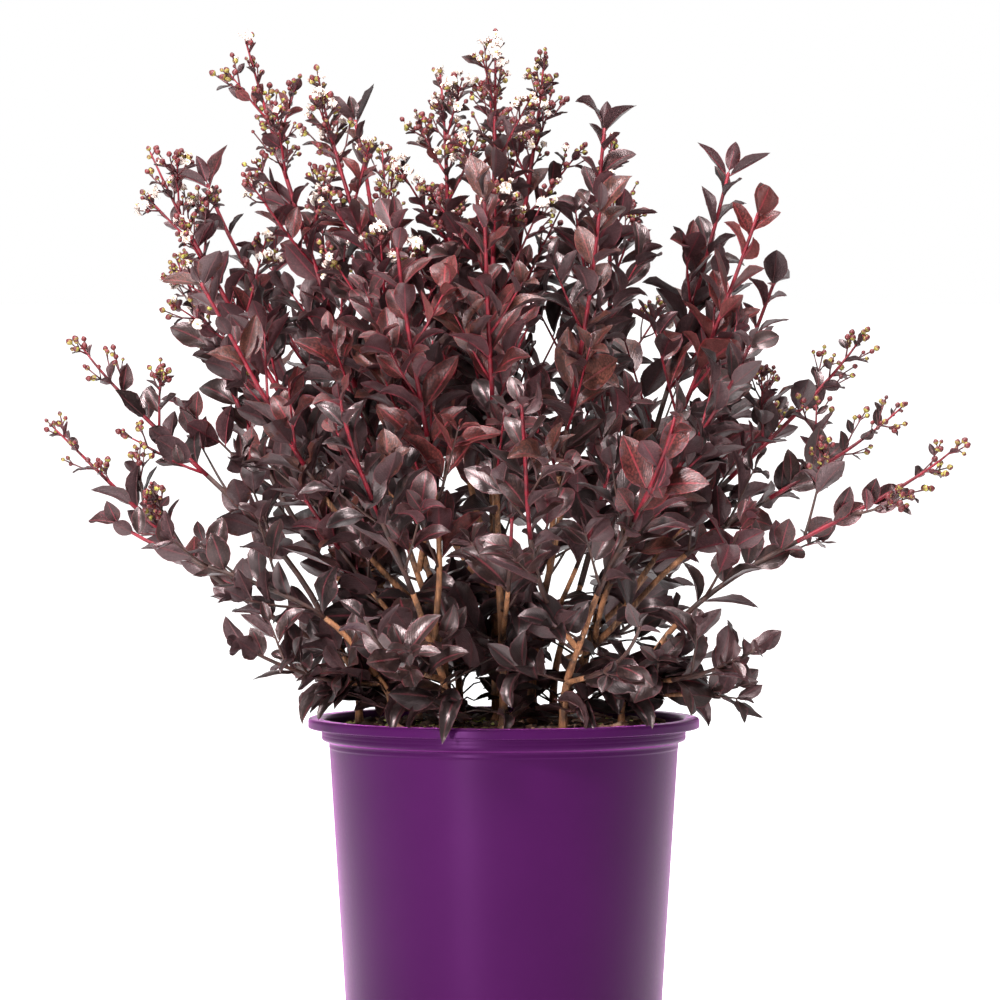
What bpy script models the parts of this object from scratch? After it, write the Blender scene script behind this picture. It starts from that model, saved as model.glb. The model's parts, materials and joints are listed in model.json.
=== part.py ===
"""Potted crape myrtle: a filled nursery pot, the stems that rise from it and the leafy shoots that they carry.

Metres, +Z up, origin at the centre of the pot's flat underside. The front of the plant faces -Y.
"""

import math
import random
from collections import namedtuple

import bmesh
import bpy
from mathutils import Matrix, Vector
from mathutils.bvhtree import BVHTree

# Pot, a thin injection-moulded wall with a stepped collar and a down-turned rim
POT_HEIGHT = 0.241
POT_WALL = 0.0018
POT_FLOOR = 0.0025
BASE_RADIUS = 0.1113
BODY_TOP_RADIUS = 0.1253
COLLAR_RADIUS = 0.1305
COLLAR_FOOT = 0.2255
RIM_RADIUS = 0.1402
RIM_SKIRT = 0.007
RIM_INNER_RADIUS = 0.1302
POT_SIDES = 40
DRAIN_HOLES = 6
DRAIN_RADIUS = 0.008
DRAIN_CIRCLE = 0.078
SMOOTH_ANGLE = math.radians(35)

# Potting mix, level in the middle and sinking to the wall
SOIL_TOP = 0.236
SOIL_LEVEL_RADIUS = 0.116
SOIL_EDGE_DROP = 0.0045
SEAT = 0.0003

# Stems
STEM_SIDES = 7
STEM_STEPS = 5
STEM_TAPER = 0.72
FLARE = 1.45
FLARE_HEIGHT = 0.010

# Shoots: the foliage masses, each one stem with side twigs and leaves
TWIG_SIDES = 3
SHOOT_STEP = 0.068
SHOOT_TAPER = 0.45
SHOOT_RADIUS = 0.0022
COLLAR_STUB = 0.003
SIDE_TWIG_RADIUS = 0.0015
SIDE_TWIG_ANGLE = math.radians(46)
LEAF_ANGLE = math.radians(54)
LEAF_TURN = math.radians(137.5)
LEAF_LIFT = 0.4
END_LEAF = 0.75
LEAF_WIDTH = 0.60
LEAF_WIDEST = 0.47
LEAF_THICKNESS = 0.045
LEAF_KEEL = 0.075
LEAF_DROOP = 0.14
LIGHT_UP = 0.55
LIGHT_OUT = 0.75
BUD_LENGTH = 0.021
BUD_WIDTH = 0.0072
BUD_ANGLE = math.radians(48)
CLEARANCE = 0.0007
SEED = 11

Stem = namedtuple("Stem", "foot top radius")
Shoot = namedtuple("Shoot", "stem along tip leaf gap sides buds")

# Each stem: where it leaves the potting mix (x, y), where it passes into its foliage (x, y, z), and its radius
STEMS = {
    "centre": Stem((0.000, -0.045), (-0.005, -0.038, 0.372), 0.0032),
    "left_inner": Stem((-0.040, 0.004), (-0.068, 0.006, 0.362), 0.0029),
    "left_outer": Stem((-0.104, 0.018), (-0.130, 0.022, 0.312), 0.0026),
    "left_low": Stem((-0.080, -0.028), (-0.102, -0.042, 0.288), 0.0025),
    "left_back": Stem((-0.062, 0.048), (-0.098, 0.062, 0.350), 0.0029),
    "back_left": Stem((-0.032, 0.088), (-0.052, 0.116, 0.330), 0.0028),
    "back_right": Stem((0.036, 0.088), (0.056, 0.118, 0.330), 0.0028),
    "back_inner": Stem((-0.006, 0.040), (-0.008, 0.046, 0.372), 0.0029),
    "right_inner": Stem((0.020, 0.002), (0.038, 0.004, 0.372), 0.0030),
    "right_back": Stem((0.056, 0.046), (0.080, 0.058, 0.350), 0.0029),
    "right_outer": Stem((0.044, -0.016), (0.097, -0.010, 0.326), 0.0030),
    "right_low": Stem((0.084, -0.034), (0.106, -0.044, 0.288), 0.0025),
    "front_left": Stem((-0.040, -0.080), (-0.056, -0.106, 0.312), 0.0028),
    "front_right": Stem((0.042, -0.080), (0.058, -0.106, 0.312), 0.0028),
}

# Each shoot: its stem, how far up that stem it starts (1 is the stem's top), its tip, leaf length, gap between
# leaves, side twigs, and buds in the panicle at its tip
SHOOTS = {
    "top_centre": Shoot("centre", 1.00, (-0.006, -0.022, 0.733), 0.056, 0.028, 2, 5),
    "top_left_of_centre": Shoot("back_inner", 0.86, (-0.046, 0.012, 0.708), 0.054, 0.031, 1, 5),
    "front_upper": Shoot("centre", 0.80, (-0.014, -0.166, 0.630), 0.060, 0.031, 2, 0),
    "front_low_centre": Shoot("centre", 0.42, (0.006, -0.200, 0.410), 0.060, 0.032, 1, 0),
    "top_left_tall": Shoot("left_inner", 1.00, (-0.187, 0.018, 0.733), 0.050, 0.031, 2, 5),
    "top_left_second": Shoot("left_inner", 0.86, (-0.133, -0.036, 0.706), 0.054, 0.031, 2, 5),
    "left_shoulder_front": Shoot("left_inner", 0.60, (-0.223, -0.064, 0.568), 0.054, 0.031, 2, 0),
    "left_inner_low": Shoot("left_inner", 0.34, (-0.156, -0.044, 0.420), 0.056, 0.031, 1, 0),
    "left_high_spray": Shoot("left_outer", 1.00, (-0.308, 0.030, 0.512), 0.046, 0.031, 2, 5),
    "left_wide_spray": Shoot("left_outer", 0.66, (-0.328, -0.020, 0.456), 0.045, 0.032, 2, 5),
    "left_low_spray": Shoot("left_low", 1.00, (-0.290, -0.052, 0.394), 0.046, 0.029, 1, 0),
    "left_lowest": Shoot("left_low", 0.50, (-0.198, -0.106, 0.306), 0.048, 0.028, 1, 0),
    "left_upper_spray": Shoot("left_back", 1.00, (-0.258, 0.062, 0.652), 0.048, 0.029, 2, 4),
    "left_back_upper": Shoot("left_back", 0.84, (-0.222, 0.134, 0.640), 0.054, 0.032, 1, 0),
    "left_shoulder": Shoot("left_back", 0.55, (-0.240, 0.104, 0.572), 0.054, 0.032, 1, 0),
    "back_upper_left": Shoot("back_left", 1.00, (-0.090, 0.180, 0.656), 0.056, 0.031, 1, 4),
    "back_mid_left": Shoot("back_left", 0.80, (-0.172, 0.232, 0.506), 0.058, 0.032, 1, 0),
    "back_low_left": Shoot("back_left", 0.40, (-0.124, 0.250, 0.350), 0.056, 0.032, 1, 0),
    "back_upper_right": Shoot("back_right", 1.00, (0.080, 0.184, 0.660), 0.056, 0.031, 1, 4),
    "back_mid_right": Shoot("back_right", 0.80, (0.186, 0.228, 0.500), 0.058, 0.032, 1, 0),
    "back_middle": Shoot("back_right", 0.62, (0.016, 0.276, 0.500), 0.058, 0.032, 2, 0),
    "back_low_right": Shoot("back_right", 0.34, (0.130, 0.246, 0.345), 0.056, 0.032, 1, 0),
    "top_right_of_centre": Shoot("back_inner", 1.00, (0.030, 0.040, 0.723), 0.054, 0.031, 1, 5),
    "top_left_leafy": Shoot("back_inner", 0.66, (-0.112, 0.074, 0.688), 0.054, 0.031, 2, 0),
    "back_inner_low": Shoot("back_inner", 0.34, (-0.004, 0.176, 0.440), 0.056, 0.032, 1, 0),
    "top_right_leafy": Shoot("right_inner", 1.00, (0.074, -0.004, 0.682), 0.054, 0.028, 2, 2),
    "front_upper_right": Shoot("right_inner", 0.80, (0.068, -0.148, 0.620), 0.060, 0.031, 2, 0),
    "right_inner_low": Shoot("right_inner", 0.36, (0.080, -0.092, 0.440), 0.058, 0.031, 1, 0),
    "right_upper_spray": Shoot("right_back", 1.00, (0.167, 0.060, 0.650), 0.048, 0.028, 2, 0),
    "right_upper_front": Shoot("right_back", 0.84, (0.188, -0.004, 0.620), 0.048, 0.029, 2, 0),
    "right_shoulder": Shoot("right_back", 0.55, (0.204, 0.124, 0.568), 0.054, 0.032, 1, 0),
    "right_wide_spray": Shoot("right_outer", 1.00, (0.291, 0.014, 0.468), 0.046, 0.031, 2, 5),
    "right_high_spray": Shoot("right_outer", 0.82, (0.264, 0.072, 0.519), 0.046, 0.032, 2, 5),
    "right_middle": Shoot("right_outer", 0.56, (0.180, -0.092, 0.526), 0.056, 0.031, 2, 2),
    "right_low_spray": Shoot("right_low", 1.00, (0.329, -0.026, 0.441), 0.046, 0.032, 2, 5),
    "right_lowest": Shoot("right_low", 0.52, (0.190, -0.126, 0.306), 0.048, 0.029, 1, 0),
    "right_hem": Shoot("right_low", 0.28, (0.182, -0.046, 0.270), 0.044, 0.028, 0, 0),
    "front_mid_left": Shoot("front_left", 1.00, (-0.116, -0.238, 0.490), 0.060, 0.032, 2, 0),
    "front_upper_left": Shoot("front_left", 0.80, (-0.076, -0.160, 0.610), 0.060, 0.031, 2, 0),
    "front_low_left": Shoot("front_left", 0.40, (-0.100, -0.238, 0.336), 0.056, 0.032, 1, 0),
    "front_mid_right": Shoot("front_right", 1.00, (0.122, -0.232, 0.480), 0.060, 0.032, 2, 0),
    "front_middle": Shoot("front_right", 0.76, (0.010, -0.256, 0.490), 0.060, 0.032, 2, 0),
    "front_low_right": Shoot("front_right", 0.36, (0.098, -0.238, 0.330), 0.056, 0.032, 1, 0),
}


def clear_scene():
    for old in list(bpy.data.objects):
        bpy.data.objects.remove(old)


def new_collection(name):
    made = bpy.data.collections.new(name)
    bpy.context.scene.collection.children.link(made)
    return made


def material(name, colour, roughness, metallic=0.0):
    made = bpy.data.materials.new(name)
    made.use_nodes = True
    shader = made.node_tree.nodes["Principled BSDF"]
    shader.inputs["Base Color"].default_value = (*colour, 1.0)
    shader.inputs["Roughness"].default_value = roughness
    shader.inputs["Metallic"].default_value = metallic
    made.diffuse_color = (*colour, 1.0)
    return made


def apply_modifiers(obj):
    """Swaps the object's mesh for its evaluated one and drops the modifiers."""
    graph = bpy.context.evaluated_depsgraph_get()
    made = bpy.data.meshes.new_from_object(obj.evaluated_get(graph))
    obj.modifiers.clear()
    obj.data = made


def turned(name, profile, sides, finish, collection):
    """A solid of revolution about Z. The profile (radius, height) runs down its outer side."""
    mesh = bpy.data.meshes.new(name)
    edges = [(i, i + 1) for i in range(len(profile) - 1)]
    mesh.from_pydata([(r, 0.0, z) for r, z in profile], edges, [])
    obj = bpy.data.objects.new(name, mesh)
    collection.objects.link(obj)
    screw = obj.modifiers.new("Turn", "SCREW")
    screw.steps = screw.render_steps = sides
    screw.use_merge_vertices = True
    screw.merge_threshold = 0.00005
    mesh.materials.append(finish)
    bpy.context.view_layer.update()
    apply_modifiers(obj)
    obj.data.shade_smooth()
    obj.data.set_sharp_from_angle(angle=SMOOTH_ANGLE)
    return obj


def outer_radius(z):
    """Radius of the pot's plain tapering wall at a height."""
    return BASE_RADIUS + (BODY_TOP_RADIUS - BASE_RADIUS) * z / COLLAR_FOOT


def make_pot(parts, cutters, finish):
    top, lip = POT_HEIGHT, POT_HEIGHT - POT_WALL
    step = COLLAR_FOOT - 0.0015
    inner_collar = COLLAR_RADIUS - POT_WALL
    profile = [
        (0.0, POT_FLOOR),
        (outer_radius(POT_FLOOR) - POT_WALL, POT_FLOOR),
        (outer_radius(step) - POT_WALL, step + POT_WALL),
        (inner_collar, COLLAR_FOOT + POT_WALL),
        (inner_collar, lip),
        (RIM_INNER_RADIUS, top),
        (RIM_RADIUS - 0.0014, top),
        (RIM_RADIUS, top - 0.0014),
        (RIM_RADIUS, top - RIM_SKIRT),
        (RIM_RADIUS - POT_WALL, top - RIM_SKIRT),
        (RIM_RADIUS - POT_WALL, lip - 0.0006),
        (COLLAR_RADIUS, lip - 0.0006),
        (COLLAR_RADIUS, COLLAR_FOOT),
        (outer_radius(step), step),
        (outer_radius(0.004), 0.004),
        (BASE_RADIUS - 0.0025, 0.0),
        (0.0, 0.0),
    ]
    pot = turned("pot", profile, POT_SIDES, finish, parts)
    for k in range(DRAIN_HOLES):
        turn = 2 * math.pi * (k + 0.5) / DRAIN_HOLES
        cutter_mesh = bpy.data.meshes.new(f"drain_{k}")
        shape = bmesh.new()
        bmesh.ops.create_cone(
            shape, cap_ends=True, segments=12, radius1=DRAIN_RADIUS, radius2=DRAIN_RADIUS, depth=4 * POT_FLOOR
        )
        shape.to_mesh(cutter_mesh)
        shape.free()
        cutter = bpy.data.objects.new(f"drain_{k}", cutter_mesh)
        cutter.location = (DRAIN_CIRCLE * math.cos(turn), DRAIN_CIRCLE * math.sin(turn), POT_FLOOR / 2)
        cutter.hide_render = True
        cutter.display_type = "WIRE"
        cutters.objects.link(cutter)
    cut = pot.modifiers.new("Drain holes", "BOOLEAN")
    cut.operation = "DIFFERENCE"
    cut.operand_type = "COLLECTION"
    cut.collection = cutters
    return pot


def make_soil(parts, finish):
    edge = COLLAR_RADIUS - POT_WALL - SEAT
    low = POT_FLOOR + SEAT
    step = COLLAR_FOOT - 0.0015
    profile = [
        (0.0, SOIL_TOP),
        (SOIL_LEVEL_RADIUS, SOIL_TOP),
        (edge, SOIL_TOP - SOIL_EDGE_DROP),
        (edge, COLLAR_FOOT + POT_WALL + 2 * SEAT),
        (outer_radius(step) - POT_WALL - 2 * SEAT, step + POT_WALL + SEAT),
        (outer_radius(low) - POT_WALL - 2 * SEAT, low),
        (0.0, low),
    ]
    return turned("potting_mix", profile, POT_SIDES, finish, parts)


def bezier(p0, p1, p2, p3, t):
    s = 1 - t
    return s * s * s * p0 + 3 * s * s * t * p1 + 3 * s * t * t * p2 + t * t * t * p3


class Path:
    """A smooth limb from start to tip: leaves along `heading`, arrives along `arrival`."""

    def __init__(self, start, heading, tip, arrival, steps, reach=0.4):
        span = (tip - start).length * reach
        handles = (start, start + heading * span, tip - arrival * span, tip)
        self.points = [bezier(*handles, k / steps) for k in range(steps + 1)]
        self.spans = [(b - a).length for a, b in zip(self.points, self.points[1:])]
        self.length = sum(self.spans)

    def at(self, share):
        """(point, tangent) at a share of the length."""
        left = max(0.0, min(1.0, share)) * self.length
        for a, b, span in zip(self.points, self.points[1:], self.spans):
            if left <= span + 1e-9:
                break
            left -= span
        return a.lerp(b, min(1.0, left / span)), (b - a).normalized()

    def gap_to(self, point):
        """Shortest distance from a point to the path."""
        best = 1e9
        for a, b in zip(self.points, self.points[1:]):
            along = b - a
            share = max(0.0, min(1.0, (point - a).dot(along) / along.length_squared))
            best = min(best, (point - a - along * share).length)
        return best


def bevel_ring(sides, helpers):
    """A closed regular polygon of radius 1, the section that limbs are swept from."""
    curve = bpy.data.curves.new(f"section_{sides}", "CURVE")
    curve.dimensions = "2D"
    spline = curve.splines.new("POLY")
    spline.points.add(sides - 1)
    for k, point in enumerate(spline.points):
        turn = 2 * math.pi * k / sides
        point.co = (math.cos(turn), math.sin(turn), 0.0, 1.0)
    spline.use_cyclic_u = True
    ring = bpy.data.objects.new(f"section_{sides}", curve)
    ring.hide_render = True
    ring.display_type = "WIRE"
    helpers.objects.link(ring)
    return ring


def swept_limb(name, points, radii, ring, collection, finish):
    """A tapering limb swept along points, as one closed mesh."""
    curve = bpy.data.curves.new(name, "CURVE")
    curve.dimensions = "3D"
    curve.bevel_mode = "OBJECT"
    curve.bevel_object = ring
    curve.use_fill_caps = True
    spline = curve.splines.new("POLY")
    spline.points.add(len(points) - 1)
    for point, place, radius in zip(spline.points, points, radii):
        point.co = (*place, 1.0)
        point.radius = radius
    swept = bpy.data.objects.new(name, curve)
    collection.objects.link(swept)
    bpy.context.view_layer.update()
    graph = bpy.context.evaluated_depsgraph_get()
    mesh = bpy.data.meshes.new_from_object(swept.evaluated_get(graph))
    bpy.data.objects.remove(swept)
    shape = bmesh.new()
    shape.from_mesh(mesh)
    bmesh.ops.remove_doubles(shape, verts=shape.verts, dist=1e-6)
    bmesh.ops.recalc_face_normals(shape, faces=shape.faces)
    shape.to_mesh(mesh)
    shape.free()
    mesh.materials.clear()
    mesh.materials.append(finish)
    obj = bpy.data.objects.new(name, mesh)
    collection.objects.link(obj)
    return obj


def tree_of(obj):
    return BVHTree.FromPolygons(
        [v.co.copy() for v in obj.data.vertices], [tuple(p.vertices) for p in obj.data.polygons]
    )


def kite(root, heading, normal, length, width, thickness, widest, keel, droop, grow=0.0):
    """The eight-faced solid of a leaf or a bud: an octahedron stretched to root, tip, two edges, face and back.

    With grow it is that much larger all round, for testing clearance.
    """
    across = heading.cross(normal).normalized()
    shape = bmesh.new()
    bmesh.ops.create_uvsphere(shape, u_segments=4, v_segments=2, radius=1.0)
    for v in shape.verts:
        end, side, face = round(v.co.z), round(v.co.x), round(v.co.y)
        along = length * (widest if end == 0 else (end > 0)) + grow * end
        rise = face * (thickness / 2 + grow) + abs(side) * keel * length
        rise -= droop * length * max(0.0, along / length - widest) if end > 0 else 0.0
        v.co = root + heading * along + across * side * (width / 2 + grow) + normal * rise
    bmesh.ops.recalc_face_normals(shape, faces=shape.faces)
    return shape


def facing(heading, tangent, side, point):
    """The way a blade faces: towards its shoot's tip, pulled up and outwards to the light."""
    normal = tangent - heading * tangent.dot(heading)
    outward = Vector((point.x, point.y, 0.02)).normalized()
    normal = normal.normalized() * 0.6 + Vector((0, 0, LIGHT_UP)) + outward * LIGHT_OUT
    normal -= heading * normal.dot(heading)
    if normal.length < 0.15:
        normal = side.cross(heading)
    return normal.normalized()


class Space:
    """Everything placed so far, by owner, so that a new piece can be kept clear of it."""

    def __init__(self):
        self.placed = []

    def add(self, owner, tree, corners):
        low = [min(c[i] for c in corners) for i in range(3)]
        high = [max(c[i] for c in corners) for i in range(3)]
        self.placed.append((owner, tree, low, high))

    def touches(self, tree, corners, but=()):
        low = [min(c[i] for c in corners) for i in range(3)]
        high = [max(c[i] for c in corners) for i in range(3)]
        for owner, other, other_low, other_high in self.placed:
            if owner in but:
                continue
            if any(low[i] > other_high[i] or high[i] < other_low[i] for i in range(3)):
                continue
            if other.overlap(tree):
                return True
        return False


def make_stem(name, stem, ring, parts, finish):
    foot = Vector((*stem.foot, SOIL_TOP + SEAT))
    top = Vector(stem.top)
    lean = (top - foot - Vector((0, 0, 0.3 * (top.z - foot.z)))).normalized()
    path = Path(foot + Vector((0, 0, FLARE_HEIGHT)), Vector((0, 0, 1)), top, lean, STEM_STEPS)
    points = [foot, foot + Vector((0, 0, 0.003))] + path.points
    thin = [1 - (1 - STEM_TAPER) * k / STEM_STEPS for k in range(STEM_STEPS + 1)]
    radii = [stem.radius * FLARE, stem.radius * FLARE * 0.88] + [stem.radius * t for t in thin]
    obj = swept_limb("stem_" + name, points, radii, ring, parts, finish)
    return obj, path


def shoot_start(stem, path, shoot):
    """(start, heading) of a shoot: on from its stem's cut top, or square off its side."""
    point, tangent = path.at(shoot.along)
    if shoot.along >= 1.0:
        return point + tangent * SEAT, tangent
    radius = stem.radius * (1 - (1 - STEM_TAPER) * shoot.along)
    out = Vector(shoot.tip) - point
    out = (out - tangent * out.dot(tangent)).normalized()
    return point + out * (radius + SEAT), out


def end_length(shoot):
    """How far the last leaf or bud stands beyond the end of the shoot's stem."""
    return BUD_LENGTH * 0.8 if shoot.buds else shoot.leaf * END_LEAF * 0.95


def shoot_path(start, heading, shoot):
    """The shoot's own curve: out along its heading, then steadily up, to reach its tip with its last leaf."""
    span = (Vector(shoot.tip) - start).normalized()
    arrival = (span + Vector((0, 0, 0.16))).normalized()
    tip = Vector(shoot.tip) - arrival * end_length(shoot)
    foot = start + heading * COLLAR_STUB
    steps = max(3, round((tip - start).length / SHOOT_STEP))
    leaving = (heading * 0.8 + span + Vector((0, 0, 0.25))).normalized()
    return Path(foot, leaving if shoot.along < 1.0 else heading, tip, arrival, steps, 0.33)


def leaf_places(path, first, last, gap, turn, rng):
    """(share, point, tangent, side) of each leaf, the sides turning as they climb."""
    count = max(1, round((last - first) * path.length / gap))
    for k in range(count):
        share = first + (last - first) * (k + rng.uniform(0.35, 0.65)) / count
        point, tangent = path.at(share)
        flat = tangent.cross(Vector((0, 0, 1)))
        if flat.length < 0.05:
            flat = Vector((1, 0, 0))
        angle = turn + LEAF_TURN * k + rng.uniform(-0.35, 0.35)
        side = Matrix.Rotation(angle, 3, tangent) @ flat.normalized()
        yield share, point, tangent, side


class Mass:
    """One shoot's foliage: its stem, side twigs, leaves and buds, which are fused into one solid."""

    def __init__(self, name, shoot, index):
        self.name = name
        self.shoot = shoot
        self.rng = random.Random(SEED + index)
        self.twigs = []

    def nearest(self, point, masses):
        own = self.axis.gap_to(point)
        return all(other is self or other.axis.gap_to(point) > own * 0.93 for other in masses)


def add_piece(mass, shape, collection):
    mesh = bpy.data.meshes.new(mass.name + "_piece")
    shape.to_mesh(mesh)
    collection.objects.link(bpy.data.objects.new(mass.name + "_piece", mesh))


def place_kite(mass, space, collection, twig, root, heading, normal, sizes, masses, sunk):
    """Adds a leaf or bud unless it would leave the mass's own space or touch anything.

    The share of it that is sunk in its own twig is left out of the space that later pieces keep clear of.
    """
    length = sizes[0]
    middle = root + heading * length * 0.6
    if masses and not mass.nearest(middle, masses):
        return False
    grown = kite(root, heading, normal, *sizes, grow=CLEARANCE)
    corners = [v.co.copy() for v in grown.verts]
    tree = BVHTree.FromBMesh(grown)
    grown.free()
    if space.touches(tree, corners, but=(mass.name + twig,)) or lowest(corners) < 0.002:
        return False
    shape = kite(root, heading, normal, *sizes)
    add_piece(mass, shape, collection)
    trimmed = kite(root + heading * length * sunk, heading, normal, length * (1 - sunk), *sizes[1:])
    space.add(mass.name + twig + "_blade", BVHTree.FromBMesh(trimmed), [v.co.copy() for v in trimmed.verts])
    trimmed.free()
    shape.free()
    return True


def lowest(corners):
    return min(c.z for c in corners)


def leaf_sizes(length):
    return (
        length,
        length * LEAF_WIDTH,
        max(0.0016, length * LEAF_THICKNESS),
        LEAF_WIDEST,
        LEAF_KEEL,
        LEAF_DROOP,
    )


def leaves_along(mass, space, collection, twig, path, first, last, length, masses):
    rng = mass.rng
    for share, point, tangent, side in leaf_places(path, first, last, mass.shoot.gap, rng.uniform(0, 6.2), rng):
        size = length * rng.uniform(0.85, 1.12) * (1.0 - 0.3 * max(0.0, share - 0.75) / 0.25)
        root = point
        for turn in (0.0, 1.2, -1.2):
            out = Matrix.Rotation(turn, 3, tangent) @ side
            angle = LEAF_ANGLE + rng.uniform(-0.2, 0.2)
            heading = tangent * math.cos(angle) + out * math.sin(angle) + Vector((0, 0, LEAF_LIFT))
            heading.normalize()
            normal = facing(heading, tangent, out, point)
            if place_kite(mass, space, collection, twig, root, heading, normal, leaf_sizes(size), masses, 0.16):
                break


def end_leaf(mass, space, collection, twig, path, length, masses):
    point, tangent = path.at(1.0)
    normal = facing(tangent, Vector((0, 0, 1)), Vector((1, 0, 0)), point)
    place_kite(mass, space, collection, twig, point - tangent * 0.002, tangent, normal, leaf_sizes(length), masses, 0.16)


def panicle(mass, space, collection, path, count):
    """Buds on short stalks round the last stretch of the shoot, and one at its tip."""
    rng = mass.rng
    stretch = min(0.4, (0.011 * count) / path.length)
    sizes = (BUD_LENGTH, BUD_WIDTH, BUD_WIDTH, 0.76, 0.0, 0.0)
    for k in range(count):
        point, tangent = path.at(1 - stretch * (1 - (k + 0.5) / count))
        flat = tangent.cross(Vector((0.3, 1, 0.2))).normalized()
        out = Matrix.Rotation(2.4 * k + rng.uniform(-0.3, 0.3), 3, tangent) @ flat
        heading = (tangent * math.cos(BUD_ANGLE) + out * math.sin(BUD_ANGLE)).normalized()
        place_kite(mass, space, collection, "", point, heading, out.cross(heading).normalized(), sizes, (), 0.3)
    point, tangent = path.at(1.0)
    normal = tangent.cross(Vector((0.3, 1, 0.2))).normalized()
    place_kite(mass, space, collection, "", point - tangent * 0.004, tangent, normal, sizes, (), 0.3)


def side_twigs(mass, space, collection, ring, finish, masses):
    """Short twigs at an even spread of heights on the shoot, turned round it by a seeded angle."""
    rng = mass.rng
    turn = rng.uniform(0, math.tau)
    for k in range(mass.shoot.sides):
        share = 0.2 + 0.42 * (k + rng.uniform(0.2, 0.8)) / max(1, mass.shoot.sides)
        point, tangent = mass.axis.at(share)
        flat = tangent.cross(Vector((0, 0, 1)))
        flat = flat.normalized() if flat.length > 0.05 else Vector((1, 0, 0))
        for attempt in range(6):
            out = Matrix.Rotation(turn + 2.6 * k + 1.1 * attempt, 3, tangent) @ flat
            heading = (tangent * math.cos(SIDE_TWIG_ANGLE) + out * math.sin(SIDE_TWIG_ANGLE)).normalized()
            length = mass.axis.length * rng.uniform(0.26, 0.36)
            tip = point + heading * length + Vector((0, 0, 0.16 * length))
            path = Path(point, heading, tip, (tip - point).normalized(), 3)
            if not mass.nearest(tip, masses):
                continue
            radii = [SIDE_TWIG_RADIUS * r for r in (1.0, 0.9, 0.75, 0.6)]
            twig = swept_limb(mass.name + "_twig", path.points, radii, ring, collection, finish)
            corners = [v.co.copy() for v in twig.data.vertices]
            key = f"{mass.name}_side{k}"
            if space.touches(tree_of(twig), corners, but=(mass.name,)):
                bpy.data.objects.remove(twig)
                continue
            mass.twigs.append((f"_side{k}", path))
            space.add(key, tree_of(twig), corners)
            break


def fuse(mass, collection, finish):
    """Unites a mass's twigs and leaves into its stem, and keeps only the one body that holds it."""
    axis = mass.object
    union = axis.modifiers.new("Fuse", "BOOLEAN")
    union.operation = "UNION"
    union.operand_type = "COLLECTION"
    union.collection = collection
    union.solver = "EXACT"
    bpy.context.view_layer.update()
    apply_modifiers(axis)
    for piece in list(collection.objects):
        bpy.data.objects.remove(piece)
    keep_main_body(axis)
    axis.data.materials.clear()
    axis.data.materials.append(finish)


def keep_main_body(obj):
    """Drops loose scraps and the walls of any hollow that the fusing sealed."""
    shape = bmesh.new()
    shape.from_mesh(obj.data)
    left = set(shape.verts)
    bodies = []
    while left:
        body, edge = set(), [left.pop()]
        while edge:
            v = edge.pop()
            body.add(v)
            for e in v.link_edges:
                other = e.other_vert(v)
                if other in left:
                    left.discard(other)
                    edge.append(other)
        bodies.append(body)
    bodies.sort(key=len)
    loose = [v for body in bodies[:-1] for v in body]
    bmesh.ops.delete(shape, geom=loose, context="VERTS")
    bmesh.ops.triangulate(shape, faces=shape.faces)
    shape.to_mesh(obj.data)
    shape.free()


def main():
    clear_scene()
    parts = new_collection("Potted crape myrtle")
    cutters = new_collection("Drain cutters")
    helpers = new_collection("Sections")

    plastic = material("Purple moulded plastic", (0.09, 0.02, 0.10), 0.38)
    mix = material("Potting mix", (0.035, 0.022, 0.014), 0.95)
    bark = material("Tan bark", (0.30, 0.17, 0.09), 0.8)
    foliage = material("Burgundy leaves", (0.075, 0.032, 0.033), 0.45)

    pot = make_pot(parts, cutters, plastic)
    soil = make_soil(parts, mix)

    stem_ring = bevel_ring(STEM_SIDES, helpers)
    twig_ring = bevel_ring(TWIG_SIDES, helpers)
    space = Space()
    bpy.context.view_layer.update()
    graph = bpy.context.evaluated_depsgraph_get()
    for solid in (pot, soil):
        shaped = solid.evaluated_get(graph)
        space.add(solid.name, tree_of(shaped), [v.co.copy() for v in shaped.data.vertices])
    stem_paths = {}
    for name, stem in STEMS.items():
        obj, stem_paths[name] = make_stem(name, stem, stem_ring, parts, bark)
        space.add("stem_" + name, tree_of(obj), [v.co.copy() for v in obj.data.vertices])

    masses = []
    for index, (name, shoot) in enumerate(SHOOTS.items()):
        mass = Mass("foliage_" + name, shoot, index)
        stem = STEMS[shoot.stem]
        start, heading = shoot_start(stem, stem_paths[shoot.stem], shoot)
        mass.axis = shoot_path(start, heading, shoot)
        count = len(mass.axis.points)
        radii = [SHOOT_RADIUS * (1 - (1 - SHOOT_TAPER) * k / (count - 1)) for k in range(count)]
        mass.object = swept_limb(
            mass.name, [start] + mass.axis.points, [SHOOT_RADIUS] + radii, twig_ring, parts, foliage
        )
        space.add(mass.name, tree_of(mass.object), [v.co.copy() for v in mass.object.data.vertices])
        masses.append(mass)

    for mass in masses:
        mass.bin = new_collection(mass.name + "_pieces")
        side_twigs(mass, space, mass.bin, twig_ring, foliage, masses)
    for mass in masses:
        buds = mass.shoot.buds
        if buds:
            panicle(mass, space, mass.bin, mass.axis, buds)
        else:
            end_leaf(mass, space, mass.bin, "", mass.axis, mass.shoot.leaf * END_LEAF, masses)
    for mass in masses:
        last = 0.97 - min(0.36, 0.011 * mass.shoot.buds / mass.axis.length)
        leaves_along(mass, space, mass.bin, "", mass.axis, 0.07, last, mass.shoot.leaf, masses)
        for twig, path in mass.twigs:
            leaves_along(mass, space, mass.bin, twig, path, 0.3, 0.95, mass.shoot.leaf * 0.85, masses)
            end_leaf(mass, space, mass.bin, twig, path, mass.shoot.leaf * 0.8, masses)
    for mass in masses:
        fuse(mass, mass.bin, foliage)
        bpy.data.collections.remove(mass.bin)


main()
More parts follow.
